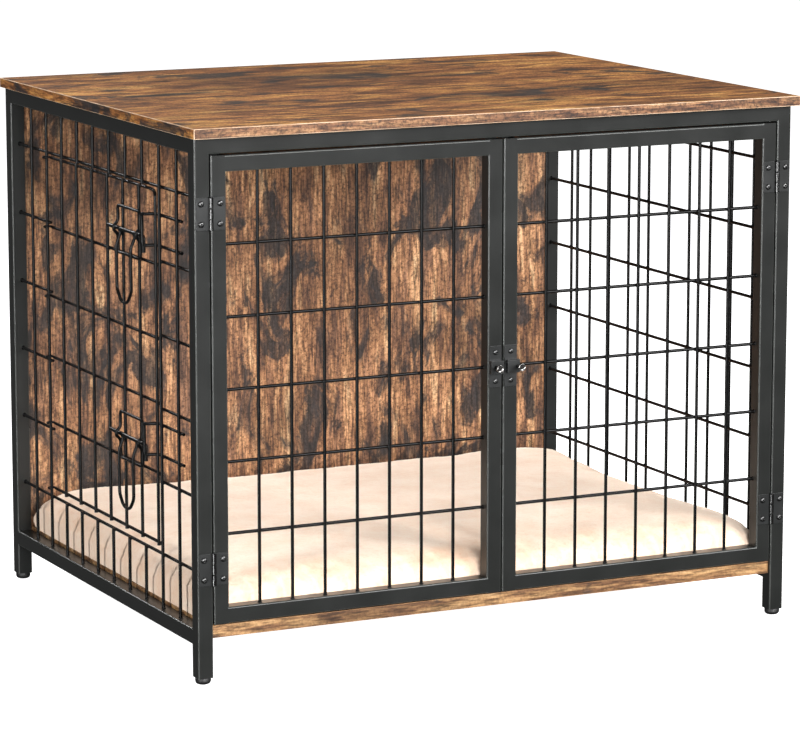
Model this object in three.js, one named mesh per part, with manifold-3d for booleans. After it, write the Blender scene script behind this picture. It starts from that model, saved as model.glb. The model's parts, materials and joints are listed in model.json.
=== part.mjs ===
// A dog crate end table: a square-tube steel frame with a wood top, base and back,
// two barred front doors, a wire door in the left side and a cushion on the base.
//
// Millimetres, +Z up. X runs along the front from left to right and -Y is the front.
// The origin is on the floor, under the middle of the table top.

import * as THREE from 'three';
import * as BufferGeometryUtils from 'three/addons/utils/BufferGeometryUtils.js';
import Module from 'manifold-3d';

const wasm = await Module();
wasm.setup();

// ---------------------------------------------------------------- driving sizes

// Table top and overall size
const TABLE_WIDTH = 800;
const TABLE_DEPTH = 630;
const TABLE_HEIGHT = 650;
const TOP_THICKNESS = 12;
const TOP_EDGE_BREAK = 0.8;
const SIDE_OVERHANG = 5;
const FRONT_OVERHANG = 13;
const REAR_OVERHANG = 5;

// Square steel tube of the frame and the doors
const TUBE = 19;
const TUBE_WALL = 1.2;
const TUBE_CORNER = 1.6;
const TUBE_ARC_STEPS = 2;
const RAIL_CLEARANCE = 46;

// Panels
const BASE_THICKNESS = 15;
const BASE_UNDERSIDE = 54;
const BASE_SETBACK = 5;
const BACK_THICKNESS = 12;
const BACK_SETBACK = 3.5;

// Glides under the posts
const FOOT_HEIGHT = 8;
const FOOT_RADIUS = 9.3;
const FOOT_SOLE_RADIUS = 6.2;
const FOOT_PLUG_RADIUS = 7;
const FOOT_PLUG_LENGTH = 12;
const FOOT_SIDES = 16;

// Welded wire: a crossing pair sinks into each other by the weld
const WIRE = 4;
const WELD = 0.3;
const WIRE_SIDES = 6;
const FIT = 0.3;

// Side grids
const GRID_VERTICALS = 10;
const GRID_ROWS = 6;
const GRID_ROW_ABOVE_RAIL = 64;
const GRID_ROW_BELOW_RAIL = 51.5;
const GRID_INSET = 8;

// Front doors
const DOOR_SIDE_GAP = 1.5;
const DOOR_MEETING_GAP = 1.5;
const DOOR_UNDERSIDE = 71;
const DOOR_TOP_GAP = 2;
const DOOR_VERTICALS = 7;
const DOOR_ROWS = 5;

// Butt hinges of the front doors
const HINGE_LENGTH = 38;
const HINGE_INSET = 66;
const LEAF_WIDTH = 18;
const LEAF_THICKNESS = 1.2;
const KNUCKLE_RADIUS = 2.6;
const KNUCKLE_SIDES = 12;
const KNUCKLE_GAP = 0.4;
const PIN_RADIUS = 1.2;
const PIN_CLEARANCE = 0.35;
const PIN_HEAD_RADIUS = 2.2;
const PIN_HEAD_HEIGHT = 1;

// Slide latch of the front doors
const LATCH_HEIGHT = 346;
const LATCH_PLATE_HEIGHT = 50;
const LATCH_PLATE_THICKNESS = 1.5;
const LATCH_PLATE_MARGIN = 1.25;
const GUIDE_HEIGHT = 15.6;
const GUIDE_WALL = 1.2;
const BOLT_BAR_HEIGHT = 7;
const BOLT_BAR_THICKNESS = 4;
const BOLT_TRAVEL = 11;
const BOLT_TIP_INSET = 0.45;
const BOLT_KNOB_PLACE = 12;
const KEEPER_POCKET_SPARE = 2.45;
const KEEPER_KNOB_PLACE = 16.5;
const KNOB_LENGTH = 12.4;
const KNOB_NECK_RADIUS = 2;
const KNOB_HEAD_RADIUS = 4.8;
const KNOB_HEAD_HEIGHT = 4;
const KNOB_DISH = 1;
const KNOB_SIDES = 14;

// Wire door in the left side, between the second and the ninth upright
const SIDE_DOOR_HINGE_UPRIGHT = 2;
const SIDE_DOOR_LATCH_UPRIGHT = 9;
const SIDE_DOOR_EDGE_GAP = 12;
const SIDE_DOOR_SPACES = 7;
const SIDE_DOOR_CORNER = 9;
const SIDE_DOOR_ROW_SHIFT = [12, 8.3, 5.2, -5.2, -5.2, -5.6];
const SIDE_DOOR_ROW_OVERRUN = 3;
const EYE_RADIUS = 4.5;
const EYE_WIRE = 3.2;
const EYE_STEPS = 12;

// Slide-bolt latches of the side door
const LATCH_ROWS = [4, 1];
const BOLT_ABOVE_ROW = 31;
const BOLT_WIRE = 5;
const BOLT_SIDES = 8;
const SIDE_BOLT_TRAVEL = 8;
const SIDE_BOLT_FROM_EDGE = 25.6;
const SIDE_BOLT_LENGTH = 111;
const SIDE_BOLT_HOOK = 19.5;
const SIDE_BOLT_BEND = 5;
const BRACKET_FROM_EDGE = 36.6;
const BRACKET_WIDTH = 70;
const BRACKET_ABOVE_BOLT = 27.4;
const BRACKET_CORNER = 5;
const BRACKET_BUMP_FLAT = 2.5;
const HANDLE_FROM_EDGE = 53.6;
const HANDLE_WIDTH = 45;
const HANDLE_DROP = 86.6;
const HANDLE_BOTTOM_RISE = 15;
const HANDLE_STEP = 5;
const HANDLE_STEP_START = 3.5;
const HANDLE_STEP_DROP = 15;
const KEEPER_ABOVE_BOLT = 28.4;
const KEEPER_BELOW_BOLT = 8.6;
const KEEPER_RUN_IN = 6.6;
const KEEPER_RUN_OUT = 10.6;
const KEEPER_OVERRUN = 5;
const KEEPER_CORNER = 4;

// Cushion
const CUSHION_SIDE_CLEARANCE = 14;
const CUSHION_END_CLEARANCE = 10;
const CUSHION_HEIGHT = 46;
const CUSHION_CROWN = 9;
const CUSHION_CORNER = 46;
const CUSHION_EDGE = 20;
const CUSHION_DRAW_IN = 6;
const CUSHION_ARC_STEPS = 5;
const CUSHION_SIDE_STEPS = 8;
const CUSHION_EDGE_STEPS = 3;
const CUSHION_CROWN_RINGS = [0.8, 0.5, 0.2];

// ---------------------------------------------------------------- derived places

const POST_OUTER_X = TABLE_WIDTH / 2 - SIDE_OVERHANG;
const POST_INNER_X = POST_OUTER_X - TUBE;
const FRONT_Y = -TABLE_DEPTH / 2 + FRONT_OVERHANG;
const FRONT_INNER_Y = FRONT_Y + TUBE;
const REAR_Y = TABLE_DEPTH / 2 - REAR_OVERHANG;
const REAR_INNER_Y = REAR_Y - TUBE;
const FRAME_TOP = TABLE_HEIGHT - TOP_THICKNESS;
const RAIL_UNDERSIDE = FRAME_TOP - TUBE;
const LOW_RAIL_TOP = RAIL_CLEARANCE + TUBE;
const BASE_TOP = BASE_UNDERSIDE + BASE_THICKNESS;

const LAYER = WIRE - WELD;
const GRID_X = POST_OUTER_X - GRID_INSET;
const GRID_ROW_X = GRID_X - LAYER;
const UPRIGHT_PITCH = (REAR_INNER_Y - FRONT_INNER_Y) / (GRID_VERTICALS + 1);
const LAST_ROW = GRID_ROWS - 1;
const LOWEST_ROW = LOW_RAIL_TOP + GRID_ROW_ABOVE_RAIL;
const ROW_PITCH = (RAIL_UNDERSIDE - GRID_ROW_BELOW_RAIL - LOWEST_ROW) / LAST_ROW;
const rowHeight = (row) => LOWEST_ROW + row * ROW_PITCH;
const uprightY = (number) => REAR_INNER_Y - number * UPRIGHT_PITCH;

const DOOR_TOP = RAIL_UNDERSIDE - DOOR_TOP_GAP;
const HINGE_X = POST_INNER_X - DOOR_SIDE_GAP / 2;
const HINGE_Y = FRONT_Y - KNUCKLE_RADIUS;

// ---------------------------------------------------------------- materials

const steel = () => new THREE.MeshStandardMaterial({ color: 0x333432, roughness: 0.55, metalness: 0.4 });
const blackMetal = () => new THREE.MeshStandardMaterial({ color: 0x222222, roughness: 0.35, metalness: 0.7 });
const chrome = () => new THREE.MeshStandardMaterial({ color: 0x8c8c8c, roughness: 0.15, metalness: 1 });
const wood = () => new THREE.MeshStandardMaterial({ color: 0x8a5d3b, roughness: 0.7, metalness: 0 });
const plastic = () => new THREE.MeshStandardMaterial({ color: 0x101010, roughness: 0.5, metalness: 0 });
const fleece = () => new THREE.MeshStandardMaterial({ color: 0xfbe6d4, roughness: 1, metalness: 0 });

// ---------------------------------------------------------------- solids and joins

// A closed geometry as a solid that can be joined and cut.
function solid(geometry) {
  const bare = geometry.index ? geometry.toNonIndexed() : geometry.clone();
  bare.deleteAttribute('normal');
  bare.deleteAttribute('uv');
  const merged = BufferGeometryUtils.mergeVertices(bare, 1e-4);
  return new wasm.Manifold(new wasm.Mesh({
    numProp: 3,
    vertProperties: new Float32Array(merged.attributes.position.array),
    triVerts: new Uint32Array(merged.index.array),
  }));
}

// A solid as a geometry again.
function surface(body) {
  const mesh = body.getMesh();
  const geometry = new THREE.BufferGeometry();
  geometry.setAttribute('position', new THREE.BufferAttribute(mesh.vertProperties, 3));
  geometry.setIndex(new THREE.BufferAttribute(mesh.triVerts, 1));
  geometry.computeVertexNormals();
  return geometry;
}

const unite = (geometries) => geometries.map(solid).reduce((sum, next) => sum.add(next));
const cut = (body, geometries) => geometries.map(solid).reduce((rest, next) => rest.subtract(next), body);

function node(name, geometry, material) {
  const mesh = new THREE.Mesh(geometry, material);
  mesh.name = name;
  return mesh;
}

// A block between two corners.
function block(low, high) {
  const size = high.map((value, axis) => value - low[axis]);
  const middle = high.map((value, axis) => (value + low[axis]) / 2);
  return new THREE.BoxGeometry(...size).translate(...middle);
}

// ---------------------------------------------------------------- wire forming

// Points along a bent wire. Every inner corner becomes a curve that starts `radius` before
// the corner and ends `radius` after it, or less where the wire is short.
function bend(corners, radius, steps = 3) {
  const points = [corners[0]];
  for (let i = 1; i < corners.length - 1; i += 1) {
    const corner = corners[i];
    const toStart = corners[i - 1].clone().sub(corner);
    const toEnd = corners[i + 1].clone().sub(corner);
    const reach = Math.min(radius, toStart.length() / 2.2, toEnd.length() / 2.2);
    const start = corner.clone().addScaledVector(toStart.normalize(), reach);
    const end = corner.clone().addScaledVector(toEnd.normalize(), reach);
    const curve = new THREE.QuadraticBezierCurve3(start, corner, end);
    points.push(...curve.getPoints(steps));
  }
  points.push(corners[corners.length - 1]);
  return points;
}

// A wire swept through its points. It has flat faces, the first of which looks along `face`,
// and `width` is its size across flats. The corners are mitred and the ends are closed.
function wire(points, width, face, sides = WIRE_SIDES) {
  const radius = width / 2 / Math.cos(Math.PI / sides);
  const direction = (i) => points[i + 1].clone().sub(points[i]).normalize();
  let along = direction(0);
  const u = face.clone().addScaledVector(along, -face.dot(along)).normalize();
  const v = along.clone().cross(u);
  let spokes = Array.from({ length: sides }, (_, k) => {
    const angle = ((k + 0.5) / sides) * 2 * Math.PI;
    return u.clone().multiplyScalar(radius * Math.cos(angle)).addScaledVector(v, radius * Math.sin(angle));
  });
  const rings = [spokes.map((spoke) => points[0].clone().add(spoke))];
  for (let i = 1; i < points.length - 1; i += 1) {
    const next = direction(i);
    const mitre = along.clone().add(next).normalize();
    const slip = along.dot(mitre);
    rings.push(spokes.map((spoke) => points[i].clone().add(spoke)
      .addScaledVector(along, -spoke.dot(mitre) / slip)));
    const turn = new THREE.Quaternion().setFromUnitVectors(along, next);
    spokes = spokes.map((spoke) => spoke.clone().applyQuaternion(turn));
    along = next;
  }
  const end = points[points.length - 1];
  rings.push(spokes.map((spoke) => end.clone().add(spoke)));
  return skin(rings);
}

// A closed ring of wire that lies level round `centre`.
function eye(centre, radius, width) {
  return new THREE.TorusGeometry(radius, width / 2, WIRE_SIDES, EYE_STEPS).translate(...centre);
}

// Faces between rings of points. The two end rings are closed by flat fans.
function skin(rings) {
  const count = rings[0].length;
  const positions = rings.flat().flatMap((point) => [point.x, point.y, point.z]);
  const faces = [];
  for (let r = 0; r < rings.length - 1; r += 1) {
    for (let k = 0; k < count; k += 1) {
      const a = r * count + k;
      const b = r * count + ((k + 1) % count);
      faces.push(a, b, b + count);
      faces.push(a, b + count, a + count);
    }
  }
  const last = (rings.length - 1) * count;
  for (let k = 1; k < count - 1; k += 1) {
    faces.push(0, k + 1, k);
    faces.push(last, last + k, last + k + 1);
  }
  const geometry = new THREE.BufferGeometry();
  geometry.setAttribute('position', new THREE.Float32BufferAttribute(positions, 3));
  geometry.setIndex(faces);
  geometry.computeVertexNormals();
  return geometry;
}

const at = (x, y, z) => new THREE.Vector3(x, y, z);
const ALONG_X = at(1, 0, 0);
const ALONG_Y = at(0, 1, 0);

// ---------------------------------------------------------------- square tube

// A length of square tube, open at both ends, from `low` to `high` along 'x', 'y' or 'z',
// centred on the other two axes.
function squareTube(axis, low, high) {
  const half = TUBE / 2;
  const inner = half - TUBE_WALL;
  const flat = half - TUBE_CORNER;
  const section = new THREE.Shape();
  section.moveTo(-flat, -half);
  section.lineTo(flat, -half);
  section.absarc(flat, -flat, TUBE_CORNER, -Math.PI / 2, 0);
  section.lineTo(half, flat);
  section.absarc(flat, flat, TUBE_CORNER, 0, Math.PI / 2);
  section.lineTo(-flat, half);
  section.absarc(-flat, flat, TUBE_CORNER, Math.PI / 2, Math.PI);
  section.lineTo(-half, -flat);
  section.absarc(-flat, -flat, TUBE_CORNER, Math.PI, 1.5 * Math.PI);
  const bore = new THREE.Path();
  bore.moveTo(-inner, -inner);
  bore.lineTo(-inner, inner);
  bore.lineTo(inner, inner);
  bore.lineTo(inner, -inner);
  section.holes.push(bore);
  const tube = new THREE.ExtrudeGeometry(section, {
    depth: high - low,
    steps: 1,
    curveSegments: TUBE_ARC_STEPS,
    bevelEnabled: false,
  });
  tube.translate(0, 0, low);
  if (axis === 'x') {
    tube.rotateY(Math.PI / 2);
  }
  if (axis === 'y') {
    tube.rotateX(-Math.PI / 2);
  }
  return tube;
}

// ---------------------------------------------------------------- steel frame

const table = new THREE.Group();

const SIDES = [['left', -1], ['right', 1]];
const ENDS = [['front', FRONT_Y + TUBE / 2], ['rear', REAR_Y - TUBE / 2]];
const POST_X = POST_OUTER_X - TUBE / 2;

for (const [side, sign] of SIDES) {
  for (const [end, y] of ENDS) {
    const post = node(`${end}_${side}_post`, squareTube('z', FOOT_HEIGHT, FRAME_TOP), steel());
    post.position.set(sign * POST_X, y, 0);
    table.add(post);
  }
  for (const [level, z] of [['top', FRAME_TOP - TUBE / 2], ['bottom', RAIL_CLEARANCE + TUBE / 2]]) {
    const rail = node(`${side}_${level}_rail`, squareTube('y', FRONT_INNER_Y, REAR_INNER_Y), steel());
    rail.position.set(sign * POST_X, 0, z);
    table.add(rail);
  }
}

const CROSS_RAILS = [
  ['front_top_rail', FRONT_Y + TUBE / 2, FRAME_TOP - TUBE / 2],
  ['rear_top_rail', REAR_Y - TUBE / 2, FRAME_TOP - TUBE / 2],
  ['rear_bottom_rail', REAR_Y - TUBE / 2, RAIL_CLEARANCE + TUBE / 2],
];
for (const [name, y, z] of CROSS_RAILS) {
  const rail = node(name, squareTube('x', -POST_INNER_X, POST_INNER_X), steel());
  rail.position.set(0, y, z);
  table.add(rail);
}

// ---------------------------------------------------------------- feet

// A moulded glide: a domed sole with a round plug pressed up into the tube of the post.
function foot() {
  const profile = [
    [0, 0],
    [FOOT_SOLE_RADIUS, 0],
    [FOOT_RADIUS - 0.9, FOOT_HEIGHT * 0.2],
    [FOOT_RADIUS, FOOT_HEIGHT * 0.5],
    [FOOT_RADIUS, FOOT_HEIGHT],
    [FOOT_PLUG_RADIUS, FOOT_HEIGHT],
    [FOOT_PLUG_RADIUS, FOOT_HEIGHT + FOOT_PLUG_LENGTH],
    [0, FOOT_HEIGHT + FOOT_PLUG_LENGTH],
  ].map(([r, z]) => new THREE.Vector2(r, z));
  return new THREE.LatheGeometry(profile, FOOT_SIDES).rotateX(Math.PI / 2);
}

for (const [side, sign] of SIDES) {
  for (const [end, y] of ENDS) {
    const glide = node(`${end}_${side}_foot`, foot(), plastic());
    glide.position.set(sign * POST_X, y, 0);
    table.add(glide);
  }
}

// ---------------------------------------------------------------- wood panels

// The top has its edges broken all round, so that they catch the light.
function tableTop() {
  const x = TABLE_WIDTH / 2 - TOP_EDGE_BREAK;
  const y = TABLE_DEPTH / 2 - TOP_EDGE_BREAK;
  const outline = new THREE.Shape([
    new THREE.Vector2(-x, -y),
    new THREE.Vector2(x, -y),
    new THREE.Vector2(x, y),
    new THREE.Vector2(-x, y),
  ]);
  const slab = new THREE.ExtrudeGeometry(outline, {
    depth: TOP_THICKNESS - 2 * TOP_EDGE_BREAK,
    bevelEnabled: true,
    bevelSegments: 1,
    bevelSize: TOP_EDGE_BREAK,
    bevelThickness: TOP_EDGE_BREAK,
  });
  return slab.translate(0, 0, FRAME_TOP + TOP_EDGE_BREAK);
}

table.add(node('table_top', tableTop(), wood()));
table.add(node('base_board', block(
  [-POST_INNER_X, FRONT_Y + BASE_SETBACK, BASE_UNDERSIDE],
  [POST_INNER_X, REAR_INNER_Y, BASE_TOP],
), wood()));
table.add(node('back_panel', block(
  [-POST_INNER_X, REAR_INNER_Y + BACK_SETBACK, LOW_RAIL_TOP],
  [POST_INNER_X, REAR_INNER_Y + BACK_SETBACK + BACK_THICKNESS, RAIL_UNDERSIDE],
), wood()));

// ---------------------------------------------------------------- side grids

// Upright and lying wires of a side grid. The uprights are the outer layer.
const upright = (x, y, low, high) => wire([at(x, y, low), at(x, y, high)], WIRE, ALONG_X);
const lying = (x, z, front, rear) => wire([at(x, front, z), at(x, rear, z)], WIRE, ALONG_X);

function closedGrid(sign) {
  const wires = [];
  for (let number = 1; number <= GRID_VERTICALS; number += 1) {
    wires.push(upright(sign * GRID_X, uprightY(number), LOW_RAIL_TOP, RAIL_UNDERSIDE));
  }
  for (let row = 0; row < GRID_ROWS; row += 1) {
    wires.push(lying(sign * GRID_ROW_X, rowHeight(row), FRONT_INNER_Y, REAR_INNER_Y));
  }
  return unite(wires);
}

// The left grid leaves out the wires in the doorway: between its lowest and highest rows
// only the uprights at the two sides of the door run through.
function doorwayGrid(sign) {
  const wires = [];
  const grip = WIRE / 2;
  const rearPost = uprightY(SIDE_DOOR_HINGE_UPRIGHT);
  const frontPost = uprightY(SIDE_DOOR_LATCH_UPRIGHT);
  for (let number = 1; number <= GRID_VERTICALS; number += 1) {
    const inDoorway = number > SIDE_DOOR_HINGE_UPRIGHT && number < SIDE_DOOR_LATCH_UPRIGHT;
    const x = sign * GRID_X;
    if (inDoorway) {
      wires.push(upright(x, uprightY(number), LOW_RAIL_TOP, rowHeight(0) + grip));
      wires.push(upright(x, uprightY(number), rowHeight(LAST_ROW) - grip, RAIL_UNDERSIDE));
    } else {
      wires.push(upright(x, uprightY(number), LOW_RAIL_TOP, RAIL_UNDERSIDE));
    }
  }
  for (let row = 0; row < GRID_ROWS; row += 1) {
    const x = sign * GRID_ROW_X;
    if (row === 0 || row === LAST_ROW) {
      wires.push(lying(x, rowHeight(row), FRONT_INNER_Y, REAR_INNER_Y));
    } else {
      wires.push(lying(x, rowHeight(row), rearPost - grip, REAR_INNER_Y));
      wires.push(lying(x, rowHeight(row), FRONT_INNER_Y, frontPost + grip));
    }
  }
  return unite(wires);
}

table.add(node('left_side_grid', surface(doorwayGrid(-1)), steel()));
table.add(node('right_side_grid', surface(closedGrid(1)), steel()));

// ---------------------------------------------------------------- front doors

// The barred panel welded inside a door frame. Its uprights are the outer layer.
function doorGrille(low, high) {
  const wires = [];
  const bottom = DOOR_UNDERSIDE + TUBE;
  const top = DOOR_TOP - TUBE;
  const y = FRONT_Y + TUBE / 2;
  const pitch = (high - low) / (DOOR_VERTICALS + 1);
  const rowPitch = (top - bottom) / (DOOR_ROWS + 1);
  for (let i = 1; i <= DOOR_VERTICALS; i += 1) {
    const x = low + i * pitch;
    wires.push(wire([at(x, y - LAYER / 2, bottom), at(x, y - LAYER / 2, top)], WIRE, ALONG_Y));
  }
  for (let i = 1; i <= DOOR_ROWS; i += 1) {
    const z = bottom + i * rowPitch;
    wires.push(wire([at(low, y + LAYER / 2, z), at(high, y + LAYER / 2, z)], WIRE, ALONG_Y));
  }
  return unite(wires);
}

for (const [side, sign] of SIDES) {
  const hingeEdge = sign * (POST_INNER_X - DOOR_SIDE_GAP);
  const lockEdge = sign * (DOOR_MEETING_GAP / 2);
  const hingeInner = hingeEdge - sign * TUBE;
  const lockInner = lockEdge + sign * TUBE;
  const low = Math.min(hingeInner, lockInner);
  const high = Math.max(hingeInner, lockInner);
  const y = FRONT_Y + TUBE / 2;
  for (const [part, x] of [['hinge', hingeEdge - sign * TUBE / 2], ['lock', lockEdge + sign * TUBE / 2]]) {
    const stile = node(`${side}_door_${part}_stile`, squareTube('z', DOOR_UNDERSIDE, DOOR_TOP), steel());
    stile.position.set(x, y, 0);
    table.add(stile);
  }
  for (const [level, z] of [['top', DOOR_TOP - TUBE / 2], ['bottom', DOOR_UNDERSIDE + TUBE / 2]]) {
    const rail = node(`${side}_door_${level}_rail`, squareTube('x', low, high), steel());
    rail.position.set(0, y, z);
    table.add(rail);
  }
  table.add(node(`${side}_door_grille`, surface(doorGrille(low, high)), steel()));
}

// ---------------------------------------------------------------- butt hinges

// One leaf of a hinge, drawn with the pin along Z at the origin, the leaf towards -X and its
// back flat on the plane y = KNUCKLE_RADIUS. `knuckles` lists the heights that its knuckles fill.
function hingeLeaf(knuckles) {
  const back = KNUCKLE_RADIUS;
  const face = KNUCKLE_RADIUS - LEAF_THICKNESS;
  const half = HINGE_LENGTH / 2;
  const plate = block([-LEAF_WIDTH, face, -half], [-KNUCKLE_RADIUS - FIT, back, half]);
  const boreRadius = (PIN_RADIUS + PIN_CLEARANCE) / Math.cos(Math.PI / KNUCKLE_SIDES);
  const parts = [plate];
  for (const [low, high] of knuckles) {
    const ring = new THREE.CylinderGeometry(KNUCKLE_RADIUS, KNUCKLE_RADIUS, high - low, KNUCKLE_SIDES);
    parts.push(ring.rotateX(Math.PI / 2).rotateZ(Math.PI / KNUCKLE_SIDES).translate(0, 0, (low + high) / 2));
    parts.push(block([-KNUCKLE_RADIUS - 2 * FIT, face, low], [-PIN_RADIUS, back - 0.1, high]));
  }
  const bore = new THREE.CylinderGeometry(boreRadius, boreRadius, HINGE_LENGTH + 2, KNUCKLE_SIDES);
  return surface(cut(unite(parts), [bore.rotateX(Math.PI / 2)]));
}

// The pin, with a low head above the top knuckle.
function hingePin() {
  const half = HINGE_LENGTH / 2;
  const profile = [
    [0, -half],
    [PIN_RADIUS, -half],
    [PIN_RADIUS, half + FIT],
    [PIN_HEAD_RADIUS, half + FIT],
    [PIN_HEAD_RADIUS * 0.7, half + FIT + PIN_HEAD_HEIGHT],
    [0, half + FIT + PIN_HEAD_HEIGHT],
  ].map(([r, z]) => new THREE.Vector2(r, z));
  return new THREE.LatheGeometry(profile, KNUCKLE_SIDES).rotateX(Math.PI / 2);
}

const third = HINGE_LENGTH / 6;
const outerKnuckles = [[-3 * third, -third], [third, 3 * third]];
const middleKnuckle = [[-third + KNUCKLE_GAP, third - KNUCKLE_GAP]];
const HINGE_LEVELS = [['upper', DOOR_TOP - HINGE_INSET], ['lower', DOOR_UNDERSIDE + HINGE_INSET]];

for (const [side, sign] of SIDES) {
  for (const [level, z] of HINGE_LEVELS) {
    const hinge = new THREE.Group();
    hinge.position.set(sign * HINGE_X, HINGE_Y, z);
    const postLeaf = node(`${side}_${level}_hinge_post_leaf`, hingeLeaf(outerKnuckles), blackMetal());
    const doorLeaf = node(`${side}_${level}_hinge_door_leaf`, hingeLeaf(middleKnuckle), blackMetal());
    const pin = node(`${side}_${level}_hinge_pin`, hingePin(), blackMetal());
    // The leaf is drawn towards -X. The one on the +X side of the pin is its mirror image.
    const turned = sign < 0 ? doorLeaf : postLeaf;
    turned.geometry = mirrored(turned.geometry);
    hinge.add(postLeaf, doorLeaf, pin);
    table.add(hinge);
  }
}

// The mirror image of a geometry in the plane x = 0.
function mirrored(geometry) {
  const copy = geometry.clone().scale(-1, 1, 1);
  const index = copy.index.array;
  for (let i = 0; i < index.length; i += 3) {
    [index[i], index[i + 1]] = [index[i + 1], index[i]];
  }
  copy.computeVertexNormals();
  return copy;
}

// ---------------------------------------------------------------- front slide latch

const PLATE_Y = FRONT_Y - LATCH_PLATE_THICKNESS;
const BAR_BACK_Y = PLATE_Y - FIT;
const BAR_FACE_Y = BAR_BACK_Y - BOLT_BAR_THICKNESS;
const GUIDE_FACE_Y = BAR_FACE_Y - FIT - GUIDE_WALL;
const MEETING_EDGE = DOOR_MEETING_GAP / 2;
const PLATE_INNER_X = MEETING_EDGE + LATCH_PLATE_MARGIN;
const PLATE_OUTER_X = MEETING_EDGE + TUBE - LATCH_PLATE_MARGIN;
const BAR_HALF = BOLT_BAR_HEIGHT / 2;
const BAR_TIP_X = -MEETING_EDGE - BOLT_TIP_INSET;

// The guide on the left door: a plate with a raised bridge that the bolt bar slides in,
// and a slot in the bridge for the neck of the knob.
function latchGuide() {
  const low = LATCH_HEIGHT - LATCH_PLATE_HEIGHT / 2;
  const high = LATCH_HEIGHT + LATCH_PLATE_HEIGHT / 2;
  const bridgeLow = LATCH_HEIGHT - GUIDE_HEIGHT / 2;
  const bridgeHigh = LATCH_HEIGHT + GUIDE_HEIGHT / 2;
  const plate = block([-PLATE_OUTER_X, PLATE_Y, low], [-PLATE_INNER_X, FRONT_Y, high]);
  const bridge = block([-PLATE_OUTER_X, GUIDE_FACE_Y, bridgeLow], [-PLATE_INNER_X, FRONT_Y, bridgeHigh]);
  const channel = block(
    [-PLATE_OUTER_X - 1, BAR_FACE_Y - FIT, LATCH_HEIGHT - BAR_HALF - FIT],
    [0, PLATE_Y, LATCH_HEIGHT + BAR_HALF + FIT],
  );
  const slot = block(
    [-BOLT_KNOB_PLACE - KNOB_NECK_RADIUS - FIT, GUIDE_FACE_Y - 1, LATCH_HEIGHT - KNOB_NECK_RADIUS - FIT],
    [0, PLATE_Y, LATCH_HEIGHT + KNOB_NECK_RADIUS + FIT],
  );
  return surface(cut(unite([plate, bridge]), [channel, slot]));
}

// The keeper on the right door: the same plate, with a closed hood that the bolt enters.
function latchKeeper() {
  const low = LATCH_HEIGHT - LATCH_PLATE_HEIGHT / 2;
  const high = LATCH_HEIGHT + LATCH_PLATE_HEIGHT / 2;
  const hoodLow = LATCH_HEIGHT - GUIDE_HEIGHT / 2;
  const hoodHigh = LATCH_HEIGHT + GUIDE_HEIGHT / 2;
  const plate = block([PLATE_INNER_X, PLATE_Y, low], [PLATE_OUTER_X, FRONT_Y, high]);
  const hoodX = PLATE_INNER_X + LATCH_PLATE_MARGIN;
  const hood = block([hoodX, GUIDE_FACE_Y, hoodLow], [MEETING_EDGE + TUBE, PLATE_Y + WELD, hoodHigh]);
  const pocket = block(
    [0, BAR_FACE_Y - FIT, LATCH_HEIGHT - BAR_HALF - FIT],
    [BAR_TIP_X + BOLT_TRAVEL + KEEPER_POCKET_SPARE, PLATE_Y, LATCH_HEIGHT + BAR_HALF + FIT],
  );
  return surface(cut(unite([plate, hood]), [pocket]));
}

// A turned pull knob with a dished face, standing along -Y on the plane y = seat.
function knob(x, seat) {
  const underside = KNOB_LENGTH - KNOB_HEAD_HEIGHT;
  const profile = [
    [0, 0],
    [KNOB_NECK_RADIUS, 0],
    [KNOB_NECK_RADIUS, underside - 1],
    [KNOB_HEAD_RADIUS - 1, underside],
    [KNOB_HEAD_RADIUS, underside + KNOB_HEAD_HEIGHT * 0.45],
    [KNOB_HEAD_RADIUS - 0.8, KNOB_LENGTH],
    [KNOB_HEAD_RADIUS * 0.55, KNOB_LENGTH - KNOB_DISH],
    [0, KNOB_LENGTH - KNOB_DISH],
  ].map(([r, y]) => new THREE.Vector2(r, y));
  const turned = new THREE.LatheGeometry(profile, KNOB_SIDES).rotateX(Math.PI);
  return turned.translate(x, seat, LATCH_HEIGHT);
}

const boltBar = block(
  [-PLATE_OUTER_X, BAR_FACE_Y, LATCH_HEIGHT - BAR_HALF],
  [BAR_TIP_X, BAR_BACK_Y, LATCH_HEIGHT + BAR_HALF],
);
table.add(node('latch_guide', latchGuide(), blackMetal()));
table.add(node('latch_bolt', boltBar, blackMetal()));
table.add(node('latch_bolt_knob', knob(-BOLT_KNOB_PLACE, BAR_FACE_Y), chrome()));
table.add(node('latch_keeper', latchKeeper(), blackMetal()));
table.add(node('latch_keeper_knob', knob(KEEPER_KNOB_PLACE, GUIDE_FACE_Y), chrome()));

// ---------------------------------------------------------------- side door

const SIDE_HINGE_Y = uprightY(SIDE_DOOR_HINGE_UPRIGHT);
const SIDE_EDGE_Y = uprightY(SIDE_DOOR_LATCH_UPRIGHT) + SIDE_DOOR_EDGE_GAP;
const SIDE_DOOR_PITCH = (SIDE_HINGE_Y - SIDE_EDGE_Y) / SIDE_DOOR_SPACES;
const doorRowHeight = (row) => rowHeight(row) + SIDE_DOOR_ROW_SHIFT[row];

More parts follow.
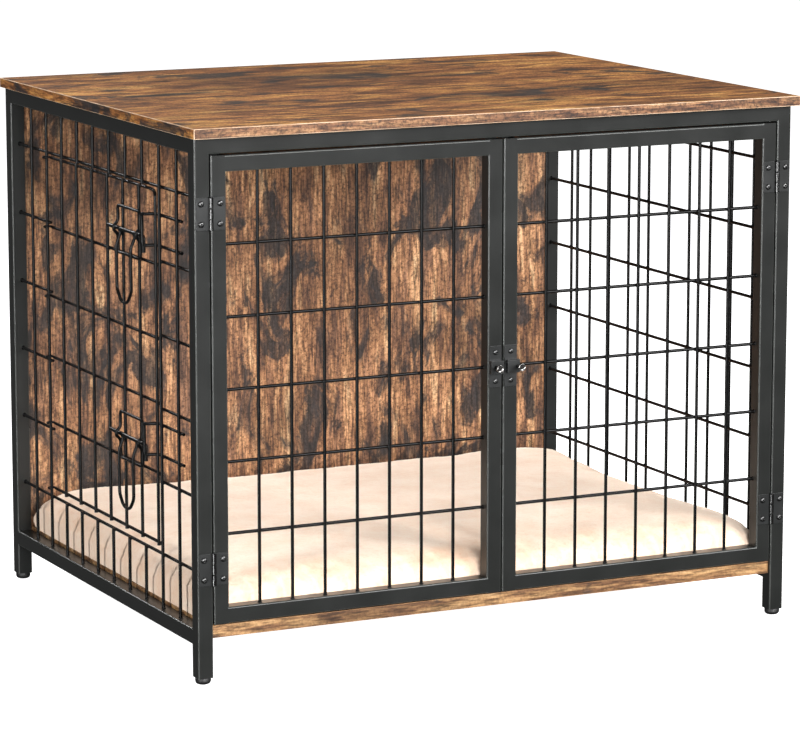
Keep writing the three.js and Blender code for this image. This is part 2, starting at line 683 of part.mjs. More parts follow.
// The wire door. Each row ends in an eye round the second upright of the grid. The top row
// is bent down at its front end and runs on as the upright at the edge.
function sideDoor() {
  const wires = [];
  const rowStart = SIDE_HINGE_Y - EYE_RADIUS;
  const top = doorRowHeight(LAST_ROW);
  for (let row = 0; row < GRID_ROWS; row += 1) {
    const z = doorRowHeight(row);
    wires.push(eye([-GRID_X, SIDE_HINGE_Y, z], EYE_RADIUS, EYE_WIRE));
    if (row < LAST_ROW) {
      wires.push(lying(-GRID_ROW_X, z, SIDE_EDGE_Y - SIDE_DOOR_ROW_OVERRUN, rowStart));
    }
  }
  const rim = bend([
    at(-GRID_ROW_X, rowStart, top),
    at(-GRID_ROW_X, SIDE_EDGE_Y + SIDE_DOOR_PITCH / 2, top),
    at(-GRID_X, SIDE_EDGE_Y, top),
    at(-GRID_X, SIDE_EDGE_Y, doorRowHeight(0) - WIRE / 2),
  ], SIDE_DOOR_CORNER);
  wires.push(wire(rim, WIRE, ALONG_X));
  for (let i = 1; i < SIDE_DOOR_SPACES; i += 1) {
    const y = SIDE_HINGE_Y - i * SIDE_DOOR_PITCH;
    wires.push(upright(-GRID_X, y, doorRowHeight(0) - WIRE / 2, top + WIRE / 2));
  }
  return unite(wires);
}

table.add(node('side_door', surface(sideDoor()), steel()));

// ---------------------------------------------------------------- side door latches

const BRACKET_X = -GRID_X - WIRE - FIT;
const BOLT_X = -GRID_X - WIRE / 2 - FIT - BOLT_WIRE / 2;
const BUMP_X = BOLT_X - BOLT_WIRE / 2 - 1.5 * FIT - WIRE / 2;
const BUMP_RUN = BRACKET_X - BUMP_X;
const HANDLE_X = BOLT_X - HANDLE_STEP;
const KEEPER_LEG_X = -GRID_X + WIRE + FIT;
const BOLT_TIP_Y = SIDE_EDGE_Y + SIDE_BOLT_FROM_EDGE;
const BRACKET_FRONT_Y = SIDE_EDGE_Y + BRACKET_FROM_EDGE;
const BRACKET_REAR_Y = BRACKET_FRONT_Y + BRACKET_WIDTH;
const HANDLE_FRONT_Y = SIDE_EDGE_Y + HANDLE_FROM_EDGE;
const HANDLE_REAR_Y = HANDLE_FRONT_Y + HANDLE_WIDTH;
const KEEPER_UPRIGHT_Y = BOLT_TIP_Y - SIDE_BOLT_TRAVEL;
const KEEPER_IN_Y = SIDE_EDGE_Y + KEEPER_RUN_IN;
const KEEPER_OUT_Y = SIDE_EDGE_Y + KEEPER_RUN_OUT;

// The wire bracket on the door: a loop whose two legs bulge out round the bolt.
function latchBracket(z, foot) {
  const head = z + BRACKET_ABOVE_BOLT;
  const leg = (y, rising) => {
    const way = rising ? 1 : -1;
    return [
      at(BRACKET_X, y, z - way * (BRACKET_BUMP_FLAT + BUMP_RUN)),
      at(BUMP_X, y, z - way * BRACKET_BUMP_FLAT),
      at(BUMP_X, y, z + way * BRACKET_BUMP_FLAT),
      at(BRACKET_X, y, z + way * (BRACKET_BUMP_FLAT + BUMP_RUN)),
    ];
  };
  const middle = (BRACKET_REAR_Y + BRACKET_FRONT_Y) / 2;
  const loop = bend([
    at(BRACKET_X, middle + FIT, foot),
    at(BRACKET_X, BRACKET_REAR_Y, foot),
    ...leg(BRACKET_REAR_Y, true),
    at(BRACKET_X, BRACKET_REAR_Y, head),
    at(BRACKET_X, BRACKET_FRONT_Y, head),
    ...leg(BRACKET_FRONT_Y, false),
    at(BRACKET_X, BRACKET_FRONT_Y, foot),
    at(BRACKET_X, middle - FIT, foot),
  ], BRACKET_CORNER, 2);
  return wire(loop, WIRE, ALONG_X);
}

// The bolt: a straight rod whose front end is bent down into a hook.
function sideBolt(z) {
  return wire(bend([
    at(BOLT_X, BOLT_TIP_Y + SIDE_BOLT_LENGTH, z),
    at(BOLT_X, BOLT_TIP_Y, z),
    at(BOLT_X, BOLT_TIP_Y, z - SIDE_BOLT_HOOK),
  ], SIDE_BOLT_BEND), BOLT_WIRE, ALONG_X, BOLT_SIDES);
}

// The pull handle: a long U of wire that steps out from the bolt and hangs in front of it.
function pullHandle(z) {
  const start = z - BOLT_WIRE / 2 - FIT;
  const step = start - HANDLE_STEP_DROP;
  const bottom = z - HANDLE_DROP;
  const middle = (HANDLE_REAR_Y + HANDLE_FRONT_Y) / 2;
  const quarter = (HANDLE_REAR_Y - HANDLE_FRONT_Y) / 4;
  return wire(bend([
    at(BOLT_X, HANDLE_REAR_Y, start),
    at(BOLT_X, HANDLE_REAR_Y, start - HANDLE_STEP_START),
    at(HANDLE_X, HANDLE_REAR_Y, step),
    at(HANDLE_X, HANDLE_REAR_Y, bottom + HANDLE_BOTTOM_RISE),
    at(HANDLE_X, middle + quarter, bottom + HANDLE_BOTTOM_RISE / 6),
    at(HANDLE_X, middle, bottom),
    at(HANDLE_X, middle - quarter, bottom + HANDLE_BOTTOM_RISE / 6),
    at(HANDLE_X, HANDLE_FRONT_Y, bottom + HANDLE_BOTTOM_RISE),
    at(HANDLE_X, HANDLE_FRONT_Y, step),
    at(BOLT_X, HANDLE_FRONT_Y, start - HANDLE_STEP_START),
    at(BOLT_X, HANDLE_FRONT_Y, start),
  ], BRACKET_CORNER, 2), WIRE, ALONG_X);
}

// The keeper on the frame: a D of wire. Its legs lie behind the ninth and tenth uprights,
// pass inside the edge of the door and swing out round the path of the bolt.
function sideKeeper(z) {
  const high = z + KEEPER_ABOVE_BOLT;
  const low = z - KEEPER_BELOW_BOLT;
  const end = uprightY(GRID_VERTICALS) - KEEPER_OVERRUN;
  return wire(bend([
    at(KEEPER_LEG_X, end, high),
    at(KEEPER_LEG_X, KEEPER_IN_Y, high),
    at(BUMP_X, KEEPER_OUT_Y, high),
    at(BUMP_X, KEEPER_UPRIGHT_Y, high),
    at(BUMP_X, KEEPER_UPRIGHT_Y, low),
    at(BUMP_X, KEEPER_OUT_Y, low),
    at(KEEPER_LEG_X, KEEPER_IN_Y, low),
    at(KEEPER_LEG_X, end, low),
  ], KEEPER_CORNER, 2), WIRE, ALONG_X);
}

LATCH_ROWS.forEach((row, i) => {
  const level = ['upper', 'lower'][i];
  const foot = doorRowHeight(row) + WIRE / 2;
  const z = doorRowHeight(row) + BOLT_ABOVE_ROW;
  table.add(node(`${level}_latch_bracket`, latchBracket(z, foot), steel()));
  table.add(node(`${level}_side_bolt`, sideBolt(z), steel()));
  table.add(node(`${level}_pull_handle`, pullHandle(z), steel()));
  table.add(node(`${level}_side_keeper`, sideKeeper(z), steel()));
});

// ---------------------------------------------------------------- cushion

// A plush pad: a rounded rectangle whose sides draw in between the corners, with a rolled
// edge above and below and a low crown over the top.
function cushion() {
  const halfWidth = POST_INNER_X - CUSHION_SIDE_CLEARANCE;
  const halfDepth = (REAR_INNER_Y - FRONT_INNER_Y) / 2 - CUSHION_END_CLEARANCE;
  const outline = [];
  const side = (from, to, inward) => {
    for (let i = 1; i < CUSHION_SIDE_STEPS; i += 1) {
      const t = i / CUSHION_SIDE_STEPS;
      const pull = CUSHION_DRAW_IN * Math.sin(Math.PI * t);
      outline.push(from.clone().lerp(to, t).addScaledVector(inward, pull));
    }
  };
  const corner = (x, y, start) => {
    for (let i = 0; i <= CUSHION_ARC_STEPS; i += 1) {
      const angle = start + (i / CUSHION_ARC_STEPS) * (Math.PI / 2);
      outline.push(at(x + CUSHION_CORNER * Math.cos(angle), y + CUSHION_CORNER * Math.sin(angle), 0));
    }
  };
  const x = halfWidth - CUSHION_CORNER;
  const y = halfDepth - CUSHION_CORNER;
  corner(x, y, 0);
  side(at(x, halfDepth, 0), at(-x, halfDepth, 0), at(0, -1, 0));
  corner(-x, y, Math.PI / 2);
  side(at(-halfWidth, y, 0), at(-halfWidth, -y, 0), at(1, 0, 0));
  corner(-x, -y, Math.PI);
  side(at(-x, -halfDepth, 0), at(x, -halfDepth, 0), at(0, 1, 0));
  corner(x, -y, 1.5 * Math.PI);
  side(at(halfWidth, -y, 0), at(halfWidth, y, 0), at(-1, 0, 0));

  // A ring of the outline pulled in by `inset` at the height z.
  const ring = (inset, z) => outline.map((point) => at(
    point.x * (1 - inset / halfWidth),
    point.y * (1 - inset / halfDepth),
    z,
  ));
  const rings = [];
  for (let i = 0; i <= CUSHION_EDGE_STEPS; i += 1) {
    const angle = (i / CUSHION_EDGE_STEPS) * (Math.PI / 2);
    rings.push(ring(CUSHION_EDGE * (1 - Math.sin(angle)), CUSHION_EDGE * (1 - Math.cos(angle))));
  }
  for (let i = 0; i <= CUSHION_EDGE_STEPS; i += 1) {
    const angle = (i / CUSHION_EDGE_STEPS) * (Math.PI / 2);
    const z = CUSHION_HEIGHT - CUSHION_EDGE + CUSHION_EDGE * Math.sin(angle);
    rings.push(ring(CUSHION_EDGE * (1 - Math.cos(angle)), z));
  }
  for (const share of CUSHION_CROWN_RINGS) {
    const rise = CUSHION_CROWN * (1 - share * share);
    rings.push(ring(halfDepth * (1 - share), CUSHION_HEIGHT + rise));
  }
  return skin(rings);
}

const pad = node('cushion', cushion(), fleece());
pad.position.set(0, (FRONT_INNER_Y + REAR_INNER_Y) / 2, BASE_TOP + FIT);
table.add(pad);

export default table;
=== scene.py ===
# %% [markdown]
# # A dog crate end table, finished in Blender
#
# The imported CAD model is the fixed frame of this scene. Each piece of it is dressed here: square
# steel tube, welded wire, printed board, hinges, latches and a plush cushion. Every length is
# written in millimetres and goes through one scale, so that the numbers can be checked with a rule.

# %% Load the frame
import json
import math
import random

import bmesh
import bpy
from mathutils import Matrix, Vector, noise


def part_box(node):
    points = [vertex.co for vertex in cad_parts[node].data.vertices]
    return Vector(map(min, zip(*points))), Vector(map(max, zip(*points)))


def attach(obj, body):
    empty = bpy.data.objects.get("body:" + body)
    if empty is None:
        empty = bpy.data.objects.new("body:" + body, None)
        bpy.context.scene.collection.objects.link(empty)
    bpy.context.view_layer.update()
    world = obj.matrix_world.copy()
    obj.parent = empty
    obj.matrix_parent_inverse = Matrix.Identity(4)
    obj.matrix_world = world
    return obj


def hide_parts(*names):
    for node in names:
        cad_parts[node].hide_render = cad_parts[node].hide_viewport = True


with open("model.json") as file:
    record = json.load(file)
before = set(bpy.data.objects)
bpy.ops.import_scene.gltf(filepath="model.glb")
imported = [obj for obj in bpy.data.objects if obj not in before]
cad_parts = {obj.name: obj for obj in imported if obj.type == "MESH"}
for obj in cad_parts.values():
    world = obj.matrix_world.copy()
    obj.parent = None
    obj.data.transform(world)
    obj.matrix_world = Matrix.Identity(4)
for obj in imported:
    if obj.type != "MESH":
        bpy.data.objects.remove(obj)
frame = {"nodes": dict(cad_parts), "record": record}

MM = 0.001
scene = bpy.context.scene
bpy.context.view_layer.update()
BODY_OF = {node: body for body, nodes in frame["record"]["behaviour"]["bodies"].items() for node in nodes}


def corners(node):
    """The lowest and highest corner of a CAD node, in millimetres."""
    low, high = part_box(node)
    return low / MM, high / MM


# %% [markdown]
# ## The view
#
# The picture is taken from the front left, a little above the table, with a long lens. A long lens
# keeps the posts almost upright in the picture. The place and the lens come from matching the
# corners of the table top and the feet of the posts, so they are typed in as numbers.

# %% Camera
VIEW_YAW, VIEW_PITCH = 0.4546, 0.1780
camera = bpy.data.objects.new("camera", bpy.data.cameras.new("camera"))
scene.collection.objects.link(camera)
camera.data.sensor_width = 36
camera.data.lens = 172.7
camera.location = (-2.0780, -4.2763, 1.1519)
heading = Vector((math.sin(VIEW_YAW) * math.cos(VIEW_PITCH), math.cos(VIEW_YAW) * math.cos(VIEW_PITCH),
                  -math.sin(VIEW_PITCH)))
camera.rotation_euler = heading.to_track_quat("-Z", "Y").to_euler()
scene.camera = camera
print("camera:", camera.data.lens, "mm lens,", round(camera.location.length, 2), "m away")

# %% [markdown]
# ## Soft studio light on a pale floor
#
# A product picture like this uses large soft lamps. The key lamp is at the front right, so the
# front of the tube is lighter than its left side. A lamp above lights the table top. Three narrow
# strips, one at the left, one in front and one behind, draw the thin bright lines along the round
# corners of the tube and along the wires. The surroundings are dim, because black paint mirrors
# whatever is round it. The floor is nearly white. It is hidden from reflections, or the black steel
# would turn grey.


# %% Lamps, surroundings and floor
def softbox(name, place, aim, width, height, watts):
    """A rectangular lamp at `place` that faces `aim`, both in metres."""
    lamp = bpy.data.lights.new(name, "AREA")
    lamp.shape, lamp.size, lamp.size_y, lamp.energy = "RECTANGLE", width, height, watts
    holder = bpy.data.objects.new(name, lamp)
    holder.location = place
    holder.rotation_euler = (Vector(aim) - Vector(place)).to_track_quat("-Z", "Y").to_euler()
    scene.collection.objects.link(holder)


MIDDLE = (0, 0, 0.35)
softbox("key_lamp", (2.6, -4.4, 2.3), MIDDLE, 2.6, 2.2, 340)
softbox("top_lamp", (-0.3, 0.5, 3.1), (0, 0, 0.6), 3.0, 1.5, 55)
softbox("front_fill", (-0.9, -5.2, 0.95), MIDDLE, 3.0, 1.6, 320)
softbox("corner_strip", (-3.8, -1.9, 0.2), MIDDLE, 0.55, 2.4, 185)
softbox("rear_strip", (-0.9, 3.8, 2.2), MIDDLE, 2.4, 0.3, 45)
softbox("wire_strip", (-0.6, -4.9, 1.0), MIDDLE, 0.25, 2.4, 24)

scene.view_settings.view_transform = "Standard"
scene.world = bpy.data.worlds.new("studio")
scene.world.use_nodes = True
studio = scene.world.node_tree
surround = studio.nodes["Background"]
surround.inputs["Color"].default_value = (0.12, 0.12, 0.12, 1)
backdrop = studio.nodes.new("ShaderNodeBackground")
seen = studio.nodes.new("ShaderNodeLightPath")
mixed = studio.nodes.new("ShaderNodeMixShader")
backdrop.inputs["Color"].default_value = (1, 1, 1, 1)
studio.links.new(seen.outputs["Is Camera Ray"], mixed.inputs[0])
studio.links.new(surround.outputs[0], mixed.inputs[1])
studio.links.new(backdrop.outputs[0], mixed.inputs[2])
studio.links.new(mixed.outputs[0], studio.nodes["World Output"].inputs["Surface"])

FLOOR_REACH = 9
floor_mesh = bpy.data.meshes.new("floor")
around = [(x * FLOOR_REACH, y * FLOOR_REACH, 0) for x, y in ((-1, -1), (1, -1), (1, 1), (-1, 1))]
floor_mesh.from_pydata(around, [], [(0, 1, 2, 3)])
floor = bpy.data.objects.new("floor", floor_mesh)
scene.collection.objects.link(floor)
paper = bpy.data.materials.new("floor_white_paper")
paper.use_nodes = True
sheet_of_paper = paper.node_tree.nodes["Principled BSDF"]
for setting, value in (("Base Color", (0.9, 0.9, 0.9, 1)), ("Roughness", 1), ("Specular IOR Level", 0),
                       ("Emission Color", (1, 1, 1, 1)), ("Emission Strength", 0.97)):
    sheet_of_paper.inputs[setting].default_value = value
floor.data.materials.append(paper)
floor.visible_diffuse = floor.visible_glossy = False

# %% [markdown]
# ## How the finishes are made
#
# A finish is a small net of nodes. Two helpers are enough: one turns a colour as a paint chart
# gives it into the linear numbers of the shader, the other adds a node with its settings and links.


# %% Colour and node helpers
def srgb(code):
    """A hex colour as the linear red, green, blue and alpha that a shader takes."""
    channels = [int(code[i:i + 2], 16) / 255 for i in (1, 3, 5)]
    return tuple(c / 12.92 if c <= 0.04045 else ((c + 0.055) / 1.055) ** 2.4 for c in channels) + (1.0,)


def add(finish, kind, options=None, stops=None, **inputs):
    """Adds a node to a finish. An input takes a value, a node or one output of a node.

    `options` are the node's own settings and `stops` the (place, hex colour) pairs of a ramp.
    """
    node = finish.node_tree.nodes.new("ShaderNode" + kind)
    for name, value in (options or {}).items():
        setattr(node, name, value)
    if stops:
        elements = node.color_ramp.elements
        while len(elements) < len(stops):
            elements.new(0.5)
        for element, (place, code) in zip(elements, stops):
            element.position, element.color = place, srgb(code)
    for name, value in inputs.items():
        socket = next(socket for socket in node.inputs
                      if socket.enabled and name in (socket.identifier, socket.name.replace(" ", "_")))
        if isinstance(value, bpy.types.Node):
            value = next(output for output in value.outputs if output.enabled)
        if isinstance(value, bpy.types.NodeSocket):
            finish.node_tree.links.new(value, socket)
        else:
            socket.default_value = value
    return node


def new_finish(name):
    """An empty finish, and the place of each surface point in the frame."""
    finish = bpy.data.materials.new(name)
    finish.use_nodes = True
    finish.node_tree.nodes.clear()
    return finish, add(finish, "TexCoord").outputs["Object"]


# %% [markdown]
# ## Black powder coat
#
# The tube and wire are mild steel with a black powder coat, which is sprayed on dry and baked. It
# gives an almost even charcoal with a soft sheen. Close up its skin is slightly uneven, like an
# orange's, about a millimetre and a half from dimple to dimple. The wire has the same coat, but it
# runs thinner and glossier on a round bar. A plastic shader is right here: the light meets paint,
# not steel. The round corners of the tube get a finish of their own, a lighter grey: a painted
# highlight that draws a bright line along each corner.


# %% Powder coat for tube, wire and hardware
def powder_coat(name, colour, worn, low, high, dimple, gloss):
    """Baked powder: `low` and `high` bound the roughness and `dimple` is the skin's step in mm."""
    finish, place = new_finish(name)
    patches = add(finish, "TexNoise", Vector=place, Scale=1 / (60 * MM), Detail=3.0)
    tone = add(finish, "ValToRGB", stops=[(0.35, colour), (0.75, worn)], Fac=patches)
    sheen = add(finish, "MapRange", Value=patches, From_Min=0.3, From_Max=0.7, To_Min=low, To_Max=high)
    skin = add(finish, "TexNoise", Vector=place, Scale=1 / (dimple * MM), Detail=1.0)
    relief = add(finish, "Bump", Strength=0.08, Distance=0.05 * MM, Height=skin)
    coat = add(finish, "BsdfPrincipled", Base_Color=tone, Roughness=sheen, Normal=relief,
               Specular_IOR_Level=gloss)
    add(finish, "OutputMaterial", Surface=coat)
    return finish


coated_tube = powder_coat("powder_coated_steel_tube", "#191a19", "#1e1f1e", 0.28, 0.34, dimple=1.5, gloss=0.32)
coated_wire = powder_coat("powder_coated_steel_wire", "#080808", "#0c0c0c", 0.20, 0.27, dimple=1.2, gloss=0.14)
hinge_steel = powder_coat("black_painted_pressed_steel", "#1b1c1c", "#222323", 0.30, 0.40, dimple=0.9, gloss=0.4)
# A lighter grey for the round corners of the tube: a painted highlight.
corner_highlight_coat = powder_coat("powder_coat_thin_on_corner", "#303230", "#3a3c3a", 0.24, 0.30, dimple=1.5, gloss=0.45)
print("powder coat:", coated_tube.name, corner_highlight_coat.name, coated_wire.name, hinge_steel.name)

# %% [markdown]
# ## Black polished knobs and moulded glides
#
# The two knobs of the latch are turned steel with a dark nickel plate, polished, so they mirror the
# lamps as sharp points. The screws are zinc plated and blackened. The knuckles of the hinges have
# lost their paint, so they draw one thin bright line on each hinge. The glides under the posts are
# moulded polyethylene: black, waxy, with soft highlights and fine scuffs from the floor.


# %% Plated steel and polyethylene
def plated_steel(name, colour, low, high):
    """Steel with a thin dark plate. `low` and `high` bound its roughness."""
    finish, place = new_finish(name)
    turning = add(finish, "TexNoise", Vector=place, Scale=1 / (1.0 * MM), Detail=2.0)
    polish = add(finish, "MapRange", Value=turning, To_Min=low, To_Max=high)
    metal = add(finish, "BsdfPrincipled", Base_Color=srgb(colour), Metallic=1.0, Roughness=polish)
    add(finish, "OutputMaterial", Surface=metal)
    return finish


def glide_polyethylene():
    finish, place = new_finish("moulded_black_polyethylene")
    scuffs = add(finish, "TexNoise", Vector=place, Scale=1 / (2 * MM), Detail=4.0)
    dull = add(finish, "MapRange", Value=scuffs, To_Min=0.42, To_Max=0.65)
    relief = add(finish, "Bump", Strength=0.15, Distance=0.05 * MM, Height=scuffs)
    plastic = add(finish, "BsdfPrincipled", Base_Color=srgb("#0d0d0d"), Roughness=dull, Normal=relief)
    add(finish, "OutputMaterial", Surface=plastic)
    return finish


black_nickel = plated_steel("black_nickel_plated_steel", "#8a8886", 0.12, 0.24)
black_zinc = plated_steel("black_zinc_plated_screw", "#484848", 0.24, 0.38)
worn_knuckle = plated_steel("knuckle_rubbed_to_bare_steel", "#4c4c4c", 0.16, 0.22)
polyethylene = glide_polyethylene()
print("plated and moulded:", black_nickel.name, black_zinc.name, worn_knuckle.name, polyethylene.name)

# %% [markdown]
# ## Printed rustic board
#
# The top, base and back are chipboard faced with a printed melamine paper. The print copies old
# planks: long brown and tan streaks, charcoal patches, dark pores and a few knots. Noise that is
# stretched along the grain draws all but the knots, which are the middles of a cell pattern with
# rings round them. The sizes come from the print: streaks 10 to 25 mm wide, patches 60 to 80 mm,
# pores 2 to 6 mm, knots 15 mm. The melamine itself is smooth with a dull sheen, and the pores are
# pressed into it a little.


# %% Board finish
def rustic_board(name, grain, tones, smudge, pore, patch, fibre, charcoal, speckle, seed):
    """Printed board with its grain along axis `grain`, 0, 1 or 2.

    `tones` are the streak colours from dark to light, `smudge` is the colour of the dark patches and
    `pore` that of the fibre lines. `patch` and `fibre` are the length along the grain and the width
    across it in mm, `charcoal` is how much of the board the dark patches cover and `speckle` how
    strong the fine mottling is.
    """
    finish, place = new_finish(name)

    def laid(along, across, step):
        """The board's own grid, in cells `along` mm long and `across` mm wide."""
        spread = [1 / (across * MM)] * 3
        spread[grain] = 1 / (along * MM)
        return add(finish, "Mapping", Vector=place, Scale=spread, Location=[seed + step] * 3)

    def print_layer(along, across, detail, rough, warp, step):
        return add(finish, "TexNoise", Vector=laid(along, across, step), Scale=1.0, Detail=detail,
                   Roughness=rough, Distortion=warp)

    def blend(way, amount, under, over):
        return add(finish, "Mix", {"data_type": "RGBA", "blend_type": way}, Factor=amount, A=under, B=over)

    streaks = print_layer(fibre[0] * 3.2, fibre[1] * 4.2, 6.0, 0.62, 0.6, 0)
    colour = add(finish, "ValToRGB", stops=list(zip((0.32, 0.42, 0.50, 0.58, 0.70), tones)), Fac=streaks)

    clouds = print_layer(patch[0] * 1.6, patch[1] * 1.8, 3.0, 0.5, 0.4, 7)
    shade = add(finish, "ValToRGB", Fac=clouds,
                stops=[(0.34, "#a8a29c"), (0.50, "#e2ddd8"), (0.64, "#ffffff")])
    colour = blend("MULTIPLY", 0.9, colour, shade)

    patches = print_layer(*patch, 7.0, 0.62, 0.9, 13)
    worn = add(finish, "MapRange", Value=patches, From_Min=0.62 - charcoal, From_Max=0.68 - charcoal)
    ragged = print_layer(patch[0] / 3, patch[1] / 6, 4.0, 0.7, 0.6, 19)
    torn = add(finish, "MapRange", Value=ragged, From_Min=0.30, From_Max=0.52, To_Min=0.62)
    cover = add(finish, "Math", {"operation": "MULTIPLY"}, Value=worn, Value_001=torn)
    cover = add(finish, "Math", {"operation": "MULTIPLY"}, Value=cover, Value_001=0.92)
    colour = blend("MIX", cover, colour, srgb(smudge))

    knots = add(finish, "TexVoronoi", Vector=laid(*KNOT_CELL, 37), Scale=1.0).outputs["Distance"]
    swirl = add(finish, "Math", {"operation": "PINGPONG"}, Value=knots, Value_001=KNOT_RING)
    rings = add(finish, "MapRange", Value=swirl, From_Max=KNOT_RING, To_Min=0.45)
    nearby = add(finish, "MapRange", Value=knots, From_Min=0.30, From_Max=0.14, To_Max=0.6)
    colour = blend("MULTIPLY", nearby, colour, rings)
    core = add(finish, "MapRange", Value=knots, From_Min=0.17, From_Max=0.08, To_Max=0.9)
    colour = blend("MIX", core, colour, srgb(smudge))

    fibres = print_layer(*fibre, 4.0, 0.65, 0.3, 29)
    lines = add(finish, "ValToRGB", stops=[(0.34, pore), (0.47, "#c4beb8"), (0.55, "#ffffff")], Fac=fibres)
    colour = blend("MULTIPLY", 0.9, colour, lines)

    mottle = add(finish, "TexNoise", Vector=place, Scale=1 / (3.4 * MM), Detail=3.0, Roughness=0.7)
    grains = add(finish, "ValToRGB", Fac=mottle,
                 stops=[(0.34, "#7a7068"), (0.50, "#e0dcd6"), (0.62, "#ffffff")])
    colour = blend("MULTIPLY", speckle, colour, grains)

    dull = add(finish, "MapRange", Value=fibres, To_Min=0.42, To_Max=0.60)
    relief = add(finish, "Bump", Strength=0.25, Distance=0.15 * MM, Height=fibres)
    melamine = add(finish, "BsdfPrincipled", Base_Color=colour, Roughness=dull, Normal=relief,
                   Specular_IOR_Level=0.35)
    add(finish, "OutputMaterial", Surface=melamine)
    return finish


TOP_TONES = ("#6c4327", "#986335", "#c4844a", "#e0a256", "#f2bf78")
BACK_TONES = ("#644838", "#946c52", "#bd8b64", "#dca97c", "#f0cea2")
EDGE_TONES = ("#6a4c34", "#8a6444", "#a98258", "#c09a6c", "#d6b48a")
LIP_TONES = ("#5a3c2a", "#785238", "#94694a", "#ac825c", "#c49c78")
KNOT_CELL, KNOT_RING = (135, 90), 0.03  # mm along and across the grain, and a share of a cell
top_board = rustic_board("melamine_top_rustic_print", 0, TOP_TONES, smudge="#3a3430", pore="#4a4038",
                         patch=(150, 80), fibre=(40, 6.0), charcoal=0.06, speckle=0.85, seed=3.0)
back_board = rustic_board("melamine_back_rustic_print", 2, BACK_TONES, smudge="#26272a", pore="#5c524a",
                          patch=(100, 60), fibre=(34, 3.0), charcoal=0.105, speckle=0.95, seed=11.0)
base_board = rustic_board("melamine_base_rustic_print", 0, EDGE_TONES, smudge="#2e2d30", pore="#6e6660",
                          patch=(120, 62), fibre=(30, 3.0), charcoal=0.0, speckle=0.5, seed=23.0)
front_edging = rustic_board("melamine_edging_front", 0, LIP_TONES, smudge="#2e2d30", pore="#5e564e",
                            patch=(150, 60), fibre=(22, 2.2), charcoal=-0.1, speckle=0.9, seed=31.0)
side_edging = rustic_board("melamine_edging_side", 1, TOP_TONES, smudge="#2e2d30", pore="#6e6660",
                           patch=(90, 40), fibre=(26, 2.4), charcoal=0.12, speckle=0.5, seed=41.0)
print("boards:", top_board.name, back_board.name, base_board.name)

# %% [markdown]
# Where the paper of the face meets the edging, the arris is filed and shows the pale core as one
# fine line. On the table top its pale colour is also a painted highlight along the edge, the
# brightest line of the table top.


# %% Arris finishes, the pale one with a painted highlight
def arris_finish(name, colour, dark):
    finish, place = new_finish(name)
    rubbed = add(finish, "TexNoise", Vector=place, Scale=1 / (25 * MM), Detail=4.0)
    tone = add(finish, "ValToRGB", stops=[(0.35, dark), (0.6, colour)], Fac=rubbed)
    core = add(finish, "BsdfPrincipled", Base_Color=tone, Roughness=0.7)
    add(finish, "OutputMaterial", Surface=core)
    return finish


# Pale arris of the table top: the filed core and a painted highlight along the edge.
pale_arris_and_highlight = arris_finish("filed_board_arris", "#d2b498", "#a88868")
dull_arris = arris_finish("plain_board_arris", "#a87e56", "#80583a")
print("arris:", pale_arris_and_highlight.name, dull_arris.name)

# %% [markdown]
# ## Plush
#
# The cushion cover is short-pile polyester plush in cream with a breath of peach. Pile scatters
# light at its tips, which a sheen layer does. The tufts are about 4 mm across, and they are drawn
# as a relief, not as hairs, so that they stay in the exported model.


# %% Cream plush
def cream_plush():
    finish, place = new_finish("knitted_polyester_plush")
    nap = add(finish, "TexNoise", Vector=place, Scale=1 / (45 * MM), Detail=4.0, Roughness=0.6)
    tone = add(finish, "ValToRGB", stops=[(0.36, "#eccaae"), (0.5, "#f0d4bc"), (0.66, "#f4deca")], Fac=nap)
    tufts = add(finish, "TexNoise", Vector=place, Scale=1 / (4 * MM), Detail=5.0, Roughness=0.65,
                Distortion=0.4)
    # The hollows between the tufts are darker: painted shade in the pile.
    painted_pile_shade = add(finish, "ValToRGB", stops=[(0.3, "#f6e0d0"), (0.5, "#ffffff")], Fac=tufts)
    colour = add(finish, "Mix", {"data_type": "RGBA", "blend_type": "MULTIPLY"}, Factor=0.6, A=tone, B=painted_pile_shade)
    relief = add(finish, "Bump", Strength=0.5, Distance=1.2 * MM, Height=tufts)
    pile = add(finish, "BsdfPrincipled", Base_Color=colour, Roughness=0.95, Normal=relief,
               Sheen_Weight=1.0, Sheen_Roughness=0.4, Sheen_Tint=srgb("#ffeedd"), Specular_IOR_Level=0.2)
    add(finish, "OutputMaterial", Surface=pile)
    return finish


plush = cream_plush()
print("plush:", plush.name)

# %% [markdown]
# ## From points to a piece
#
# Every new piece is a list of parts, and a part is points and faces in millimetres. `joined` makes
# one mesh of the parts. `put` gives a mesh its finishes, lets it ride on the CAD body and takes the
# place of the CAD nodes that it stands for.


# %% The piece maker
def joined(name, parts):
    """One smooth mesh of several parts."""
    points, faces = [], []
    for part_points, part_faces in parts:
        start = len(points)
        points += part_points
        faces += [tuple(start + i for i in face) for face in part_faces]
    mesh = bpy.data.meshes.new(name)
    mesh.from_pydata([Vector(point) * MM for point in points], [], faces)
    mesh.shade_smooth()
    return mesh


def put(name, mesh, finishes, body, nodes=(), crisp=False):
    """A mesh in the scene. `crisp` keeps its flat faces flat under smooth shading."""
    made = bpy.data.objects.new(name, mesh)
    scene.collection.objects.link(made)
    for finish in finishes:
        mesh.materials.append(finish)
    if crisp:
        made.modifiers.new("flat_faces", "WEIGHTED_NORMAL")
    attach(made, body)
    if nodes:
        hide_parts(*nodes)
    return made


def piece(name, parts, finish, body, nodes=(), crisp=False):
    return put(name, joined(name, parts), [finish], body, nodes, crisp)


print("piece maker: ready")

# %% [markdown]
# ## Square tube
#
# The frame is cold-rolled square tube, 19 mm with a 1.2 mm wall. Rolling leaves round corners of
# about 2 mm, and these corners are what the eye sees: each one draws a bright line between two
# plain faces. So the section is drawn with true arcs, and each point keeps the normal of the arc.
# The faces on the arcs also get a lighter grey, a painted highlight that strengthens that line.


# %% Tube section and tubes
TUBE_CORNER, TUBE_WALL, ARC_STEPS = 2.0, 1.2, 6


